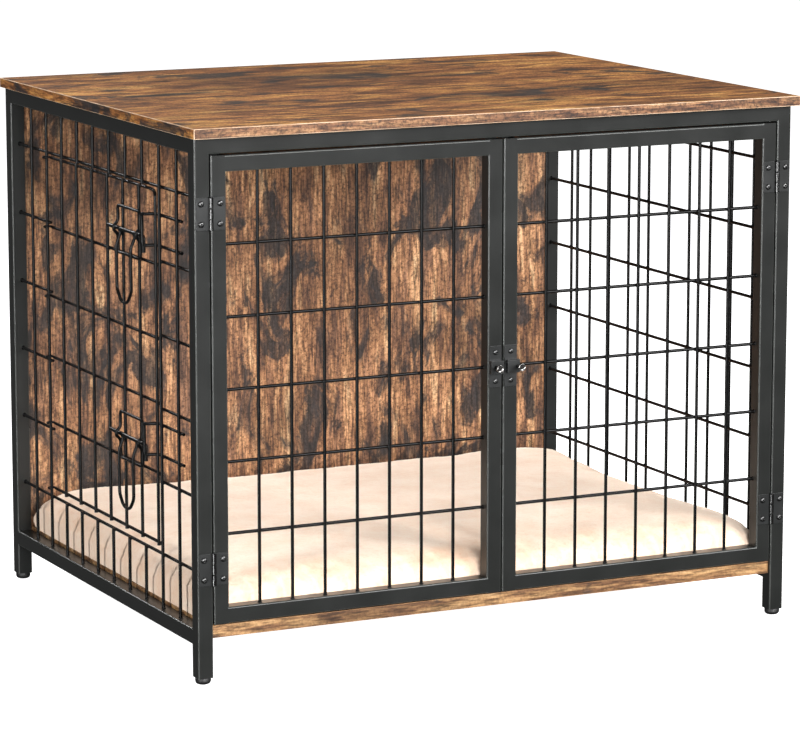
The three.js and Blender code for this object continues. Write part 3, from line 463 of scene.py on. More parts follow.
def square_section(half, corner, steps=ARC_STEPS):
    """Points and normals round a square with rounded corners."""
    ring = []
    for quarter in range(4):
        centre = Matrix.Rotation(quarter * math.pi / 2, 2) @ Vector((1, 1))
        for i in range(steps + 1):
            angle = (quarter + i / steps) * math.pi / 2
            normal = Vector((math.cos(angle), math.sin(angle)))
            ring.append((centre * (half - corner) + normal * corner, normal))
    return ring


def tube(node):
    """A length of square tube in the place of a CAD node: skin, bore and cut ends."""
    low, high = corners(node)
    size = high - low
    run = max(range(3), key=lambda axis: size[axis])
    if node.endswith("_rail"):  # the weld fills the round corner of the tube that a rail meets
        low[run], high[run] = low[run] - TUBE_CORNER, high[run] + TUBE_CORNER
    u, v = (run + 1) % 3, (run + 2) % 3
    middle = (low + high) / 2
    half = min(size) / 2
    skins = [square_section(half, TUBE_CORNER), square_section(half - TUBE_WALL, TUBE_CORNER - TUBE_WALL)]
    points, normals, faces = [], [], []

    def ring(section, end, facing):
        start = len(points)
        for (a, b), normal in section:
            point = Vector((0, 0, 0))
            point[run], point[u], point[v] = end, middle[u] + a, middle[v] + b
            points.append(point * MM)
            out = Vector((0, 0, 0))
            if facing:
                out[run] = facing
            else:
                out[u], out[v] = normal
            normals.append(out)
        return start

    count = len(skins[0])
    steps = [(i, (i + 1) % count) for i in range(count)]
    on_corner = [i % (ARC_STEPS + 1) in range(1, ARC_STEPS - 1) for i in range(count)]
    outer, inner = skins
    a, b = ring(outer, low[run], 0), ring(outer, high[run], 0)
    faces += [(a + i, a + j, b + j, b + i) for i, j in steps]
    inward = [(place, -normal) for place, normal in inner]
    a, b = ring(inward, low[run], 0), ring(inward, high[run], 0)
    faces += [(a + j, a + i, b + i, b + j) for i, j in steps]
    a, b = ring(outer, low[run], -1), ring(inner, low[run], -1)
    faces += [(a + j, a + i, b + i, b + j) for i, j in steps]
    a, b = ring(outer, high[run], 1), ring(inner, high[run], 1)
    faces += [(a + i, a + j, b + j, b + i) for i, j in steps]

    mesh = bpy.data.meshes.new(node + "_tube")
    mesh.from_pydata(points, [], faces)
    mesh.shade_smooth()
    mesh.normals_split_custom_set_from_vertices(normals)
    # Faces on the round corners take the second finish, a painted highlight.
    for part, painted_highlight in zip(mesh.polygons, on_corner):  # the skin's faces come first, in the same order
        part.material_index = int(painted_highlight)
    put(node + "_tube", mesh, [coated_tube, corner_highlight_coat], BODY_OF[node], [node])


TUBES = [node for node in frame["nodes"] if node.endswith(("_post", "_rail", "_stile"))]
for node in TUBES:
    tube(node)
print("tubes:", len(TUBES))

# %% [markdown]
# ## Wire
#
# Wire is a circle that travels along a line. The circle is turned a little at each point, so that
# it never twists, and its two ends are closed by flat cuts. A bend starts one radius before its
# corner, as a wire bender makes it.


# %% Swept wire
WIRE = 4.0


def bent(line, radius, steps=6):
    """The line with each inner corner rounded."""
    line = [Vector(point) for point in line]
    path = [line[0]]
    for before, corner, after in zip(line, line[1:], line[2:]):
        reach = min(radius, (before - corner).length / 2.2, (after - corner).length / 2.2)
        start = corner + (before - corner).normalized() * reach
        end = corner + (after - corner).normalized() * reach
        for i in range(steps + 1):
            t = i / steps
            path.append(start * (1 - t) ** 2 + corner * 2 * t * (1 - t) + end * t ** 2)
    return path + [line[-1]]


def band(lower, upper, count):
    """The faces between two closed rings of `count` points that start at `lower` and `upper`."""
    return [(lower + k, lower + (k + 1) % count, upper + (k + 1) % count, upper + k) for k in range(count)]


def swept(path, thickness, sides=12):
    """A round wire along a path. `thickness` is one size in mm, or one for each point."""
    path = [Vector(point) for point in path]
    sizes = thickness if isinstance(thickness, list) else [thickness] * len(path)
    along = (path[1] - path[0]).normalized()
    spoke = along.orthogonal().normalized()
    points, faces = [], []

    def circle(centre, direction, size):
        other = direction.cross(spoke)
        start = len(points)
        for k in range(sides):
            angle = 2 * math.pi * k / sides
            points.append(centre + (spoke * math.cos(angle) + other * math.sin(angle)) * size / 2)
        return start

    first = circle(path[0], along, sizes[0])
    cap = circle(path[0], along, sizes[0])
    faces.append(tuple(cap + k for k in reversed(range(sides))))
    for i in range(1, len(path)):
        onward = (path[min(i + 1, len(path) - 1)] - path[i - 1]).normalized()
        spoke = (spoke - onward * spoke.dot(onward)).normalized()
        last = circle(path[i], onward, sizes[i])
        faces += band(first, last, sides)
        first = last
    cap = circle(path[-1], onward, sizes[-1])
    faces.append(tuple(cap + k for k in range(sides)))
    return points, faces


BEAD = bmesh.new()
bmesh.ops.create_icosphere(BEAD, subdivisions=2, radius=1)
BEAD_POINTS = [vertex.co.copy() for vertex in BEAD.verts]
BEAD_FACES = [tuple(vertex.index for vertex in face.verts) for face in BEAD.faces]
BEAD.free()


def weld(place, size):
    """A small mound of weld metal with the three half sizes `size`."""
    return [Vector(place) + Vector([c * s for c, s in zip(point, size)]) for point in BEAD_POINTS], BEAD_FACES


def crossing_weld(place, out):
    """The bead where two wires cross. `out` is the axis through both wires."""
    return weld(place, [1.3 if axis == out else 2.5 for axis in range(3)])


def end_weld(place, run, out):
    """The bead where a wire that runs along axis `run` meets the tube."""
    return weld(place, [{run: 1.3, out: 2.6}.get(axis, 3.0) for axis in range(3)])


print("wire:", WIRE, "mm thick, weld bead with", len(BEAD_POINTS), "points")

# %% [markdown]
# ## Welded grids
#
# Each grid is upright wires with lying wires behind them, 4 mm thick, resistance welded where they
# cross. The weld melts the two wires 0.3 mm into each other and squeezes out a little bead. At the
# ends the wires are welded to the tube. Axes are numbered 0, 1 and 2 for x, y and z.

# %% Front door grilles
LAYER = WIRE - 0.3


def door_grille(side):
    low, high = corners(f"{side}_door_grille")
    uprights = [low.x + (high.x - low.x) * i / 8 for i in range(1, 8)]
    rows = [low.z + (high.z - low.z) * i / 6 for i in range(1, 6)]
    front, rear = low.y + WIRE / 2, high.y - WIRE / 2
    parts = [swept([(x, front, low.z), (x, front, high.z)], WIRE) for x in uprights]
    parts += [swept([(low.x, rear, z), (high.x, rear, z)], WIRE) for z in rows]
    parts += [crossing_weld((x, (front + rear) / 2, z), 1) for x in uprights for z in rows]
    parts += [end_weld((x, front, z), 2, 1) for x in uprights for z in (low.z, high.z)]
    parts += [end_weld((x, rear, z), 0, 1) for x in (low.x, high.x) for z in rows]
    piece(f"{side}_door_wires", parts, coated_wire, f"{side}_door", [f"{side}_door_grille"])
    return len(uprights) * len(rows)


for side in ("left", "right"):
    print(side, "door grille:", door_grille(side), "welded crossings")

# %% [markdown]
# The grid in the right side is closed. The one in the left side leaves a doorway: between its
# lowest and highest rows only the two uprights at each side of the door run through.

# %% Side grids
FRONT_END, REAR_END = corners("left_top_rail")[0].y, corners("left_top_rail")[1].y
SILL, LINTEL = corners("left_bottom_rail")[1].z, corners("left_top_rail")[0].z
UPRIGHTS = [REAR_END - (REAR_END - FRONT_END) * i / 11 for i in range(1, 11)]
LOWEST_ROW, HIGHEST_ROW = SILL + 64, LINTEL - 51.5
ROWS = [LOWEST_ROW + (HIGHEST_ROW - LOWEST_ROW) * i / 5 for i in range(6)]
GRID_X = corners("right_side_grid")[1].x - WIRE / 2
HINGE_UPRIGHT, LATCH_UPRIGHT = UPRIGHTS[1], UPRIGHTS[8]


def side_grid(name, sign, doorway):
    """Uprights outside and rows inside. Returns the number of crossings."""
    outer, inner = sign * GRID_X, sign * (GRID_X - LAYER)
    spans = {}
    for number, y in enumerate(UPRIGHTS):
        open_here = doorway and 1 < number < 8
        spans[y] = [(SILL, ROWS[0] + 2), (ROWS[5] - 2, LINTEL)] if open_here else [(SILL, LINTEL)]
    parts = [swept([(outer, y, a), (outer, y, b)], WIRE) for y in spans for a, b in spans[y]]
    crossings = []
    for row, z in enumerate(ROWS):
        runs = [(FRONT_END, REAR_END)]
        if doorway and 0 < row < 5:
            runs = [(HINGE_UPRIGHT - 2, REAR_END), (FRONT_END, LATCH_UPRIGHT + 2)]
        parts += [swept([(inner, a, z), (inner, b, z)], WIRE) for a, b in runs]
        crossings += [(y, z) for y in UPRIGHTS if any(a <= y <= b for a, b in runs)]
    parts += [crossing_weld(((outer + inner) / 2, y, z), 0) for y, z in crossings]
    parts += [end_weld((outer, y, z), 2, 0) for y in UPRIGHTS for z in (SILL, LINTEL)]
    parts += [end_weld((inner, y, z), 1, 0) for y in (FRONT_END, REAR_END) for z in ROWS]
    piece(name, parts, coated_wire, "frame", [name.replace("_wires", "_grid")])
    return len(crossings)


print("right side grid:", side_grid("right_side_wires", 1, False), "crossings")
print("left side grid:", side_grid("left_side_wires", -1, True), "crossings")

# %% [markdown]
# ## The wire door in the left side
#
# This is the cleverest part of the crate: the door hinges on the grid itself. The end of each row
# is curled once round the second upright, which is its hinge pin. The top row is bent down at its
# front end and runs on as the edge of the door, so no sharp end is left where a dog passes.

# %% Side door with its hinge eyes
DOOR_EDGE = LATCH_UPRIGHT + 12
DOOR_ROWS = [z + shift for z, shift in zip(ROWS, (12, 8.3, 5.2, -5.2, -5.2, -5.6))]
EYE_CURL, EYE_WIRE = 4.1, 3.2


def eye_end(z, start):
    """A row from `start` to the hinge upright, curled round it. Returns the path and its sizes."""
    path, sizes = [*start], [WIRE] * len(start)
    path.append((-GRID_X + LAYER, HINGE_UPRIGHT - 9, z))
    sizes.append(WIRE)
    for i in range(21):
        angle = math.radians(-12 + 275 * i / 20)
        path.append((-GRID_X + EYE_CURL * math.cos(angle), HINGE_UPRIGHT + EYE_CURL * math.sin(angle), z))
        sizes.append(EYE_WIRE)
    return path, sizes


def side_door():
    parts = []
    pitch = (HINGE_UPRIGHT - DOOR_EDGE) / 7
    uprights = [HINGE_UPRIGHT - i * pitch for i in range(1, 7)]
    inner, outer = -GRID_X + LAYER, -GRID_X
    for z in DOOR_ROWS[:5]:
        parts.append(swept(*eye_end(z, [(inner, DOOR_EDGE - 3, z)])))
    rim = bent([(outer, DOOR_EDGE, DOOR_ROWS[0] - 2), (outer, DOOR_EDGE, DOOR_ROWS[5]),
                (inner, DOOR_EDGE + pitch / 2, DOOR_ROWS[5]), (inner, HINGE_UPRIGHT - 12, DOOR_ROWS[5])], 9)
    parts.append(swept(*eye_end(DOOR_ROWS[5], rim[:-1])))
    parts += [swept([(outer, y, DOOR_ROWS[0] - 2), (outer, y, DOOR_ROWS[5] + 2)], WIRE) for y in uprights]
    middle = (inner + outer) / 2
    parts += [crossing_weld((middle, y, z), 0) for y in uprights for z in DOOR_ROWS]
    parts += [crossing_weld((middle, DOOR_EDGE, z), 0) for z in DOOR_ROWS[:5]]
    piece("side_door_wires", parts, coated_wire, "side_door", ["side_door"])


side_door()
print("side door:", len(DOOR_ROWS), "rows, eyes round the upright at", round(HINGE_UPRIGHT, 1))

# %% [markdown]
# ## Slide-bolt latches of the side door
#
# Each latch is four bent wires. A bracket on the door holds the bolt in two bulges. The bolt is a
# 5 mm rod with a hooked end. A long U hangs from it as a pull. The keeper on the frame is a D whose
# legs pass behind the edge of the door, and the bolt slides in front of them. Their heights are
# measured from the rod, and their places along the side from the edge of the door.

# %% Bent wire latches
SIDE_LATCHES = {"upper": 4, "lower": 1}  # the row of the door that carries each
ROD_ABOVE_ROW, ROD, ROD_LENGTH, HOOK = 31, 5.0, 111, 19.5
BRACKET_X, BOLT_X = -GRID_X - 4.3, -GRID_X - 4.8
BUMP_X = BOLT_X - 4.95
BUMP_RUN = BRACKET_X - BUMP_X
HANDLE_X = BOLT_X - 5
KEEPER_X = -GRID_X + 4.3
BOLT_TIP = DOOR_EDGE + 25.6


def latch_bracket(level, z, foot):
    front, rear, head = DOOR_EDGE + 36.6, DOOR_EDGE + 106.6, z + 27.4
    middle = (front + rear) / 2

    def bulge(y, way):
        return [(BRACKET_X, y, z - way * (2.5 + BUMP_RUN)), (BUMP_X, y, z - way * 2.5),
                (BUMP_X, y, z + way * 2.5), (BRACKET_X, y, z + way * (2.5 + BUMP_RUN))]

    loop = bent([(BRACKET_X, middle + 0.3, foot), (BRACKET_X, rear, foot), *bulge(rear, 1),
                 (BRACKET_X, rear, head), (BRACKET_X, front, head), *bulge(front, -1),
                 (BRACKET_X, front, foot), (BRACKET_X, middle - 0.3, foot)], 5)
    seat = -GRID_X - 2
    parts = [swept(loop, WIRE), weld((BRACKET_X, middle, foot), (2.4, 2.2, 2.4))]
    parts += [weld((seat, y, foot), (1.6, 3.0, 2.2)) for y in (front + 8, rear - 8)]
    piece(f"{level}_latch_bracket_wire", parts, coated_wire, "side_door",
          [f"{level}_latch_bracket"])


def side_bolt(level, z):
    rod = bent([(BOLT_X, BOLT_TIP + ROD_LENGTH, z), (BOLT_X, BOLT_TIP, z), (BOLT_X, BOLT_TIP, z - HOOK)], 5)
    piece(f"{level}_bolt_rod", [swept(rod, ROD, 16)], coated_wire, f"{level}_side_bolt",
          [f"{level}_side_bolt"])


def pull_handle(level, z):
    front, rear = DOOR_EDGE + 53.6, DOOR_EDGE + 98.6
    start, bottom = z - 2.8, z - 86.6
    middle, quarter = (front + rear) / 2, (rear - front) / 4
    half = [(BOLT_X, rear, start), (BOLT_X, rear, start - 3.5), (HANDLE_X, rear, start - 15),
            (HANDLE_X, rear, bottom + 15), (HANDLE_X, middle + quarter, bottom + 2.5)]
    other = [(x, 2 * middle - y, height) for x, y, height in reversed(half)]
    parts = [swept(bent([*half, (HANDLE_X, middle, bottom), *other], 5), WIRE)]
    parts += [weld((BOLT_X, y, z - 2), (2.6, 3.0, 1.8)) for y in (front, rear)]
    piece(f"{level}_pull_wire", parts, coated_wire, f"{level}_side_bolt",
          [f"{level}_pull_handle"])


def side_keeper(level, z):
    high, low, end = z + 28.4, z - 8.6, UPRIGHTS[9] - 5
    run_in, run_out, upright = DOOR_EDGE + 6.6, DOOR_EDGE + 10.6, BOLT_TIP - 8
    leg = [(KEEPER_X, end), (KEEPER_X, run_in), (BUMP_X, run_out), (BUMP_X, upright)]
    loop = [(x, y, high) for x, y in leg] + [(x, y, low) for x, y in reversed(leg)]
    parts = [swept(bent(loop, 4), WIRE)]
    parts += [weld(((KEEPER_X - GRID_X) / 2, y, height), (1.4, 2.4, 2.4))
              for y in UPRIGHTS[8:] for height in (low, high)]
    piece(f"{level}_keeper_wire", parts, coated_wire, "frame", [f"{level}_side_keeper"])


for level, row in SIDE_LATCHES.items():
    rod_height = DOOR_ROWS[row] + ROD_ABOVE_ROW
    latch_bracket(level, rod_height, DOOR_ROWS[row] + 2)
    side_bolt(level, rod_height)
    pull_handle(level, rod_height)
    side_keeper(level, rod_height)
    print(level, "latch: rod at", round(rod_height, 1), "mm")

# %% [markdown]
# ## Boards
#
# A board is a plain slab, but its edges tell how it was made. The faces carry the print, the
# edging strip has its own straight grain, and the arris between them is filed. On the table top
# the arris's pale colour is also a painted highlight. So each board is bevelled in code and its
# faces are sorted by where they look.


# %% Table top, base and back
def board(node, thick, edge, finishes):
    """A bevelled slab in the place of a CAD node. `thick` is the axis across its thickness.

    `finishes` are those of the face, the edging, the arris and, where it differs, the side edging.
    """
    low, high = corners(node)
    mesh_maker = bmesh.new()
    bmesh.ops.create_cube(mesh_maker, size=1)
    for vertex in mesh_maker.verts:
        vertex.co = Vector([low[i] + (vertex.co[i] + 0.5) * (high[i] - low[i]) for i in range(3)]) * MM
    bmesh.ops.bevel(mesh_maker, geom=mesh_maker.edges[:], offset=edge * MM, segments=2, profile=0.6,
                    affect="EDGES", material=2)
    for part in mesh_maker.faces:
        if part.material_index != 2:
            across = max(range(3), key=lambda axis: abs(part.normal[axis]))
            part.material_index = 0 if across == thick else (3 if across == 0 and len(finishes) == 4 else 1)
    mesh = bpy.data.meshes.new(node + "_panel")
    mesh_maker.to_mesh(mesh)
    mesh_maker.free()
    mesh.shade_smooth()
    put(node + "_panel", mesh, finishes, BODY_OF[node], [node], crisp=True)


board("table_top", 2, 0.7, [top_board, front_edging, pale_arris_and_highlight, side_edging])
board("base_board", 2, 0.5, [base_board, base_board, dull_arris])
board("back_panel", 1, 0.5, [back_board, back_board, dull_arris])
print("boards: table top, base board, back panel")

# %% [markdown]
# ## Turned parts
#
# Glides, knobs and screw heads are turned: a profile that goes once round an axis.


# %% Lathe, glides and knobs
def turned(profile, place, axis, sides=32):
    """Turns (radius, height) pairs round an axis through `place`. Sharp corners are given twice."""
    along = Vector(axis).normalized()
    across = along.orthogonal().normalized()
    other = along.cross(across)
    points, faces = [], []
    for radius, height in profile:
        for k in range(sides):
            angle = 2 * math.pi * k / sides
            points.append(Vector(place) + along * height
                          + (across * math.cos(angle) + other * math.sin(angle)) * radius)
    for ring in range(len(profile) - 1):
        if profile[ring] != profile[ring + 1]:
            faces += band(ring * sides, (ring + 1) * sides, sides)
    faces.append(tuple(reversed(range(sides))))
    last = (len(profile) - 1) * sides
    faces.append(tuple(last + k for k in range(sides)))
    return points, faces


GLIDE = [(4.5, 0.0), (6.2, 0.25), (7.8, 1.1), (8.8, 2.3), (9.3, 4.0), (9.3, 4.0), (9.3, 7.4), (9.0, 8.0),
         (9.0, 8.0), (7.0, 8.0), (7.0, 8.0), (7.0, 19.5), (6.2, 20.0)]
for node in [n for n in frame["nodes"] if n.endswith("_foot")]:
    low, high = corners(node)
    seat = ((low.x + high.x) / 2, (low.y + high.y) / 2, 0)
    piece(node + "_glide", [turned(GLIDE, seat, (0, 0, 1))], polyethylene, "frame", [node])

KNOB = [(2.0, 0.0), (2.0, 6.6), (2.3, 7.3), (3.4, 8.2), (4.4, 8.9), (4.8, 9.8), (4.8, 10.4), (4.8, 11.0),
        (4.55, 11.9), (4.15, 12.4), (3.8, 12.3), (3.5, 11.8), (3.2, 11.45), (2.6, 11.4), (2.6, 11.4), (0.4, 11.4)]
for node in ("latch_bolt_knob", "latch_keeper_knob"):
    low, high = corners(node)
    seat = ((low.x + high.x) / 2, high.y, (low.z + high.z) / 2)
    piece(node + "_turned", [turned(KNOB, seat, (0, -1, 0), 40)], black_nickel, BODY_OF[node],
          [node])
print("turned: four glides, two knobs")

# %% [markdown]
# ## Butt hinges
#
# A butt hinge is pressed from 1.2 mm strip. The strip is curled into knuckles, the two leaves'
# knuckles interlock, and a pin with a flattened head goes through them. Its plates have small round
# corners and a rolled edge that catches the light.


# %% Plates, knuckles and pins
def plate(x_low, x_high, z_low, z_high, back, face, corner=1.6, edge=0.35):
    """A flat plate with round corners and a broken front edge. It faces -Y."""
    outline = []
    for quarter, (x, z) in enumerate(((x_high, z_high), (x_low, z_high), (x_low, z_low), (x_high, z_low))):
        way = ((-1, -1), (1, -1), (1, 1), (-1, 1))[quarter]
        for i in range(5):
            angle = (quarter + i / 4) * math.pi / 2
            outline.append((x + way[0] * corner, z + way[1] * corner, math.cos(angle), math.sin(angle)))
    points = []
    for reach, y in ((corner, back), (corner, face + edge), (corner - edge * 0.35, face + edge * 0.3),
                     (corner - edge, face)):
        points += [(x + reach * c, y, z + reach * s) for x, z, c, s in outline]
    count = len(outline)
    faces = [tuple(reversed(face)) for ring in range(3) for face in band(ring * count, (ring + 1) * count, count)]
    faces.append(tuple(range(count)))
    faces.append(tuple(3 * count + i for i in reversed(range(count))))
    return [Vector(p) for p in points], faces


LEAF_HALF, LEAF_NEAR, LEAF_FAR = 19, 2.2, 18
KNUCKLE = 2.6


def barrel(low, high, place):
    """One knuckle between two heights, round the pin."""
    half = [(2.1, 0), (2.45, 0.1), (KNUCKLE, 0.35), (KNUCKLE, 0.35)]
    profile = [(radius, low + step) for radius, step in half]
    profile += [(radius, high - step) for radius, step in reversed(half)]
    return turned(profile, place, (0, 0, 1), 24)


def hinge(side, level):
    """One hinge. Returns the pin's x, the face its plates lie on and its middle height."""
    sign = -1 if side == "left" else 1
    pin_low, pin_high = corners(f"{side}_{level}_hinge_pin")
    x, y = (pin_low.x + pin_high.x) / 2, (pin_low.y + pin_high.y) / 2
    middle = pin_low.z + LEAF_HALF
    back, face = y + KNUCKLE, y + 1.4
    for leaf, toward, knuckles in (("post", sign, ((-LEAF_HALF, -6.5), (6.5, LEAF_HALF))),
                                   ("door", -sign, ((-5.9, 5.9),))):
        name = f"{side}_{level}_hinge_{leaf}"
        body = BODY_OF[name + "_leaf"]
        reach = sorted((x + toward * LEAF_NEAR, x + toward * LEAF_FAR))
        leaf_plate = plate(*reach, middle - LEAF_HALF, middle + LEAF_HALF, back, face)
        piece(name + "_plate", [leaf_plate], hinge_steel, body, [name + "_leaf"], crisp=True)
        piece(name + "_knuckles", [barrel(*span, (x, y, middle)) for span in knuckles], worn_knuckle, body)
    head = [(1.2, -19.0), (1.2, 19.3), (1.2, 19.3), (2.2, 19.3), (2.2, 19.7), (1.9, 20.1), (1.1, 20.3)]
    piece(f"{side}_{level}_hinge_pin_turned", [turned(head, (x, y, middle), (0, 0, 1), 20)], hinge_steel,
          "frame", [f"{side}_{level}_hinge_pin"])
    return x, back, middle


print("hinge leaf:", 2 * LEAF_HALF, "mm high, knuckle", 2 * KNUCKLE, "mm thick")

# %% [markdown]
# ## Screws
#
# The hinges and latch plates are held by black pan-head screws with a cross recess. One head is
# made with care: a turned dome with the cross cut out of it. All others are copies of it, each
# turned to its own angle, as a hand or a drill leaves them.


# %% Cross-recess pan head
def loose(name, part):
    """A part that only helps to make another one."""
    made = bpy.data.objects.new(name, joined(name, [part]))
    scene.collection.objects.link(made)
    return made


def pan_head():
    dome = [(3.7, 0.0), (3.75, 0.35), (3.65, 0.9), (3.3, 1.4), (2.6, 1.8), (1.6, 2.05), (0.3, 2.15)]
    head = loose("screw_pattern", turned(dome, (0, 0, 0), (0, 0, 1), 36))
    arms = []
    for long, short in ((2.0, 0.42), (0.42, 2.0)):
        top = [(-long, -short, 3), (long, -short, 3), (long, short, 3), (-long, short, 3)]
        bottom = [(*(c * (0.45 if abs(c) > 1 else 0.9) for c in point[:2]), 0.8) for point in top]
        faces = [(0, 1, 2, 3), (7, 6, 5, 4), (0, 4, 5, 1), (1, 5, 6, 2), (2, 6, 7, 3), (3, 7, 4, 0)]
        arms.append(([Vector(p) for p in top + bottom], faces))
    for number, arm in enumerate(arms):
        recess = head.modifiers.new("recess", "BOOLEAN")
        recess.operation, recess.solver, recess.object = "DIFFERENCE", "EXACT", loose(f"recess_{number}", arm)
    bpy.context.view_layer.update()
    made = bpy.data.meshes.new_from_object(head.evaluated_get(bpy.context.evaluated_depsgraph_get()))
    points = [vertex.co / MM for vertex in made.vertices]
    faces = [tuple(part.vertices) for part in made.polygons]
    for spare in [head] + [modifier.object for modifier in head.modifiers]:
        bpy.data.objects.remove(spare)
    return points, faces


SCREW_POINTS, SCREW_FACES = pan_head()
turns = random.Random(7)


def screw(place, axis, size):
    """One screw head on a surface at `place`, facing `axis`."""
    lay = Vector(axis).to_track_quat("Z", "Y").to_matrix() @ Matrix.Rotation(turns.uniform(0, 1.57), 3, "Z")
    return [Vector(place) + lay @ (point * size) for point in SCREW_POINTS], SCREW_FACES


def screws(name, places, body, size):
    """Screw heads on the front, in one piece."""
    made = piece(name, [screw(place, (0, -1, 0), size) for place in places], black_zinc, body, crisp=True)
    made.data.set_sharp_from_angle(angle=math.radians(35))


print("pan head:", len(SCREW_POINTS), "points")

# %% Hinges with their screws
for side in ("left", "right"):
    for level in ("upper", "lower"):
        x, back, middle = hinge(side, level)
        sign = -1 if side == "left" else 1
        for leaf, toward, body in (("post", sign, "frame"), ("door", -sign, f"{side}_door")):
            places = [(x + toward * 12, back - 1.2, middle + dz) for dz in (-11.7, 11.7)]
            screws(f"{side}_{level}_{leaf}_screws", places, body, 0.95)
print("hinges: 4, each with 4 screws")

# %% [markdown]
# ## Front latch
#
# Two small plates face each other over the gap between the doors. The left one carries a bridge
# that a flat bar slides through, the right one a closed hood that the bar enters. A knob on the
# bar moves it, and its twin on the hood gives the other hand something to pull.

# %% Slide latch
GAP = 0.75  # from the middle of the table to the edge of each door
PLATE_NEAR, PLATE_FAR = GAP + 1.25, GAP + 17.75
PLATE_HALF, BRIDGE_HALF, SLOT_HALF = 25, 7.8, 3.8
FRONT_FACE = corners("front_left_post")[0].y
PLATE_FACE = FRONT_FACE - 1.5
BRIDGE_FACE = corners("latch_keeper")[0].y
LATCH_Z = (corners("latch_bolt")[0].z + corners("latch_bolt")[1].z) / 2


def slab(low, high, edge=0.35):
    """A small block with all its edges broken."""
    maker = bmesh.new()
    bmesh.ops.create_cube(maker, size=1)
    for vertex in maker.verts:
        vertex.co = Vector([low[i] + (vertex.co[i] + 0.5) * (high[i] - low[i]) for i in range(3)])
    bmesh.ops.bevel(maker, geom=maker.edges[:], offset=edge, segments=2, profile=0.5, affect="EDGES")
    points = [vertex.co.copy() for vertex in maker.verts]
    maker.verts.index_update()
    faces = [tuple(vertex.index for vertex in part.verts) for part in maker.faces]
    maker.free()
    return points, faces


def walls(left, right, edge):
    """The two walls, above and below the bar, that carry the bridge or the hood."""
    return [slab((left + 0.2, BRIDGE_FACE + 0.7, LATCH_Z + low + 0.05),
                 (right - 0.2, PLATE_FACE + 0.3, LATCH_Z + high - 0.05), edge)
            for low, high in ((-BRIDGE_HALF, -SLOT_HALF), (SLOT_HALF, BRIDGE_HALF))]


def latch_guide():
    left, right = -PLATE_FAR, -PLATE_NEAR
    parts = [plate(left, right, LATCH_Z - PLATE_HALF, LATCH_Z + PLATE_HALF, FRONT_FACE, PLATE_FACE)]
    parts += walls(left, right, 0.2)
    for low, high in ((-BRIDGE_HALF, -2.3), (2.3, BRIDGE_HALF)):
        parts.append(slab((left, BRIDGE_FACE, LATCH_Z + low), (right, BRIDGE_FACE + 1.2, LATCH_Z + high), 0.3))
    parts.append(slab((left + 0.1, BRIDGE_FACE + 0.05, LATCH_Z - 3),
                      (left + 4.2, BRIDGE_FACE + 1.1, LATCH_Z + 3), 0.1))
    piece("latch_guide_pressed", parts, hinge_steel, "left_door", ["latch_guide"], crisp=True)


def latch_keeper():
    left, right = PLATE_NEAR + 1.25, PLATE_FAR + 1.25
    parts = [plate(PLATE_NEAR, PLATE_FAR, LATCH_Z - PLATE_HALF, LATCH_Z + PLATE_HALF, FRONT_FACE, PLATE_FACE)]
    parts += walls(left, right, 0.3)
    parts.append(slab((left, BRIDGE_FACE, LATCH_Z - BRIDGE_HALF),
                      (right, BRIDGE_FACE + 1.2, LATCH_Z + BRIDGE_HALF), 0.5))
    parts.append(slab((right - 7, BRIDGE_FACE + 0.7, LATCH_Z - 5),
                      (right - 0.2, PLATE_FACE + 0.3, LATCH_Z + 5), 0.3))
    piece("latch_keeper_pressed", parts, hinge_steel, "right_door", ["latch_keeper"],
          crisp=True)


low, high = corners("latch_bolt")
piece("latch_bolt_bar", [slab(low, high, 0.4)], hinge_steel, "front_bolt",
      ["latch_bolt"], crisp=True)
latch_guide()
latch_keeper()
for side, sign in (("left", -1), ("right", 1)):
    places = [(sign * (GAP + 9.5), PLATE_FACE, LATCH_Z + dz) for dz in (-17.5, 17.5)]
    screws(f"{side}_latch_screws", places, f"{side}_door", 0.85)
print("front latch: guide, bar, keeper, four screws")

# %% [markdown]
# ## The plush cushion
#
# The cushion is a stuffed plush pad. A cushion gets its form from its filling, which presses the
# cover out everywhere while the cover holds it in at the corners. Cloth simulation does just that:
# the CAD pad, made a little smaller, is remeshed to even squares and blown up with a soft pressure.
# No point may move further than a limit, and the underside stays flat on the base board.

# %% Fill the cushion
PAD_SHRINK = (0.984, 0.984, 0.90)
PAD_LIMIT = 9.0
pad_low, pad_high = corners("cushion")


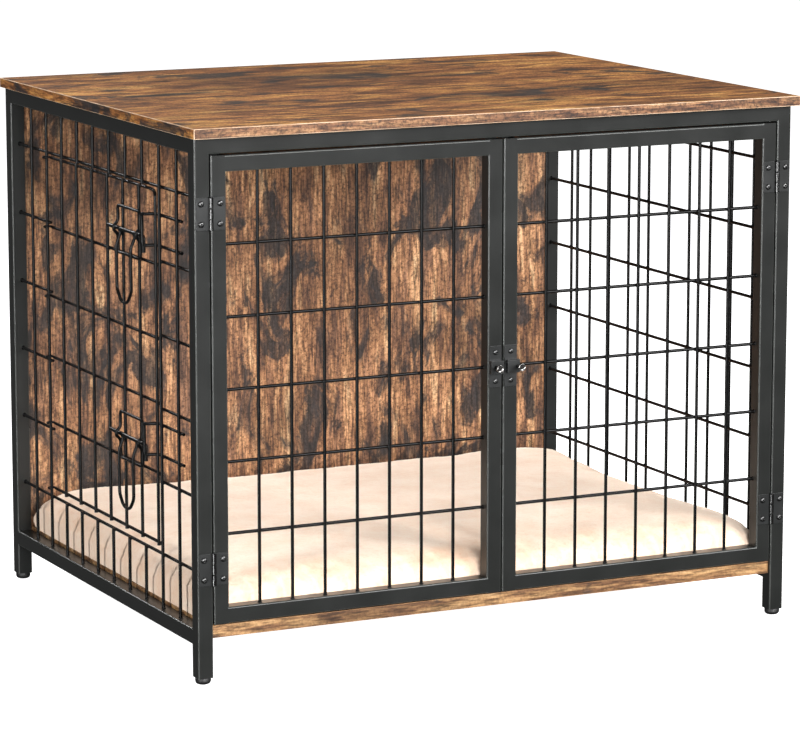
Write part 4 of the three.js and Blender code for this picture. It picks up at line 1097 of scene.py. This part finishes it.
def stuffed_pad():
    seat = (pad_low + pad_high) / 2
    seat.z = pad_low.z
    mesh = frame["nodes"]["cushion"].data.copy()
    mesh.name = "plush_cushion"
    mesh.materials.clear()
    made = bpy.data.objects.new("plush_cushion", mesh)
    scene.collection.objects.link(made)
    for vertex in mesh.vertices:
        away = vertex.co / MM - seat
        vertex.co = (Vector([c * s for c, s in zip(away, PAD_SHRINK)]) + seat) * MM
    bpy.context.view_layer.objects.active = made
    even = made.modifiers.new("even_squares", "REMESH")
    even.mode, even.voxel_size = "VOXEL", 6 * MM
    bpy.ops.object.modifier_apply(modifier=even.name)
    start = [vertex.co.copy() for vertex in made.data.vertices]
    cloth = made.modifiers.new("cover", "CLOTH").settings
    cloth.quality, cloth.mass = 5, 0.3
    cloth.tension_stiffness = cloth.compression_stiffness = 12
    cloth.bending_stiffness = 0.6
    cloth.use_pressure, cloth.uniform_pressure_force = True, 4
    cloth.effector_weights.gravity = 0
    for number in range(1, 21):
        scene.frame_set(number)
    bpy.ops.object.modifier_apply(modifier="cover")
    scene.frame_set(1)
    for vertex, home in zip(made.data.vertices, start):
        move = vertex.co - home
        if move.length > PAD_LIMIT * MM:
            vertex.co = home + move.normalized() * PAD_LIMIT * MM
    finer = made.modifiers.new("finer", "SUBSURF")
    finer.levels = finer.render_levels = 1
    bpy.ops.object.modifier_apply(modifier=finer.name)
    return made


cushion = stuffed_pad()
print("cushion:", len(cushion.data.vertices), "points after filling")

# %% [markdown]
# The filling of such a pad is never even, so long low lumps run over it. The pile adds a fine
# unevenness that softens the outline. Both are moved into the mesh by noise. Last, the pad is let
# out to its place: it fills the crate, and its lower half presses flat against the rails.

# %% Lumps and pile
floor_of_pad = pad_low.z * MM
outward = [vertex.normal.copy() for vertex in cushion.data.vertices]
for vertex, normal in zip(cushion.data.vertices, outward):
    lift = min(1.0, max(0.0, (vertex.co.z - floor_of_pad) / (12 * MM)))
    lump = noise.noise(vertex.co * 9) * 2.6 + noise.noise(vertex.co * 24 + Vector((5, 0, 0))) * 1.1
    pile = noise.noise(vertex.co * 210) * 0.55
    vertex.co += normal * (lump + pile) * lift * MM
    vertex.co.z = max(vertex.co.z, floor_of_pad)
PAD_ROOM = (Vector((-376, -281.5, 69.3)), Vector((375, 290.5, 126)))
PRESSED = 0.45  # the share of the height that lies against the rails
reach = [[vertex.co[i] for vertex in cushion.data.vertices] for i in range(3)]
reach = [(min(line), max(line)) for line in reach]
for vertex in cushion.data.vertices:
    share = [(c - low) / (high - low) for c, (low, high) in zip(vertex.co, reach)]
    spread = 1.012 + 0.05 * max(0.0, 1 - share[2] / PRESSED)
    for i in range(2):
        share[i] = min(1.0, max(0.0, 0.5 + (share[i] - 0.5) * spread))
    vertex.co = Vector([a + (b - a) * t for a, b, t in zip(*PAD_ROOM, share)]) * MM
cushion.data.shade_smooth()
cushion.data.materials.append(plush)
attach(cushion, "frame")
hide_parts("cushion")
print("cushion: lumps and pile done")
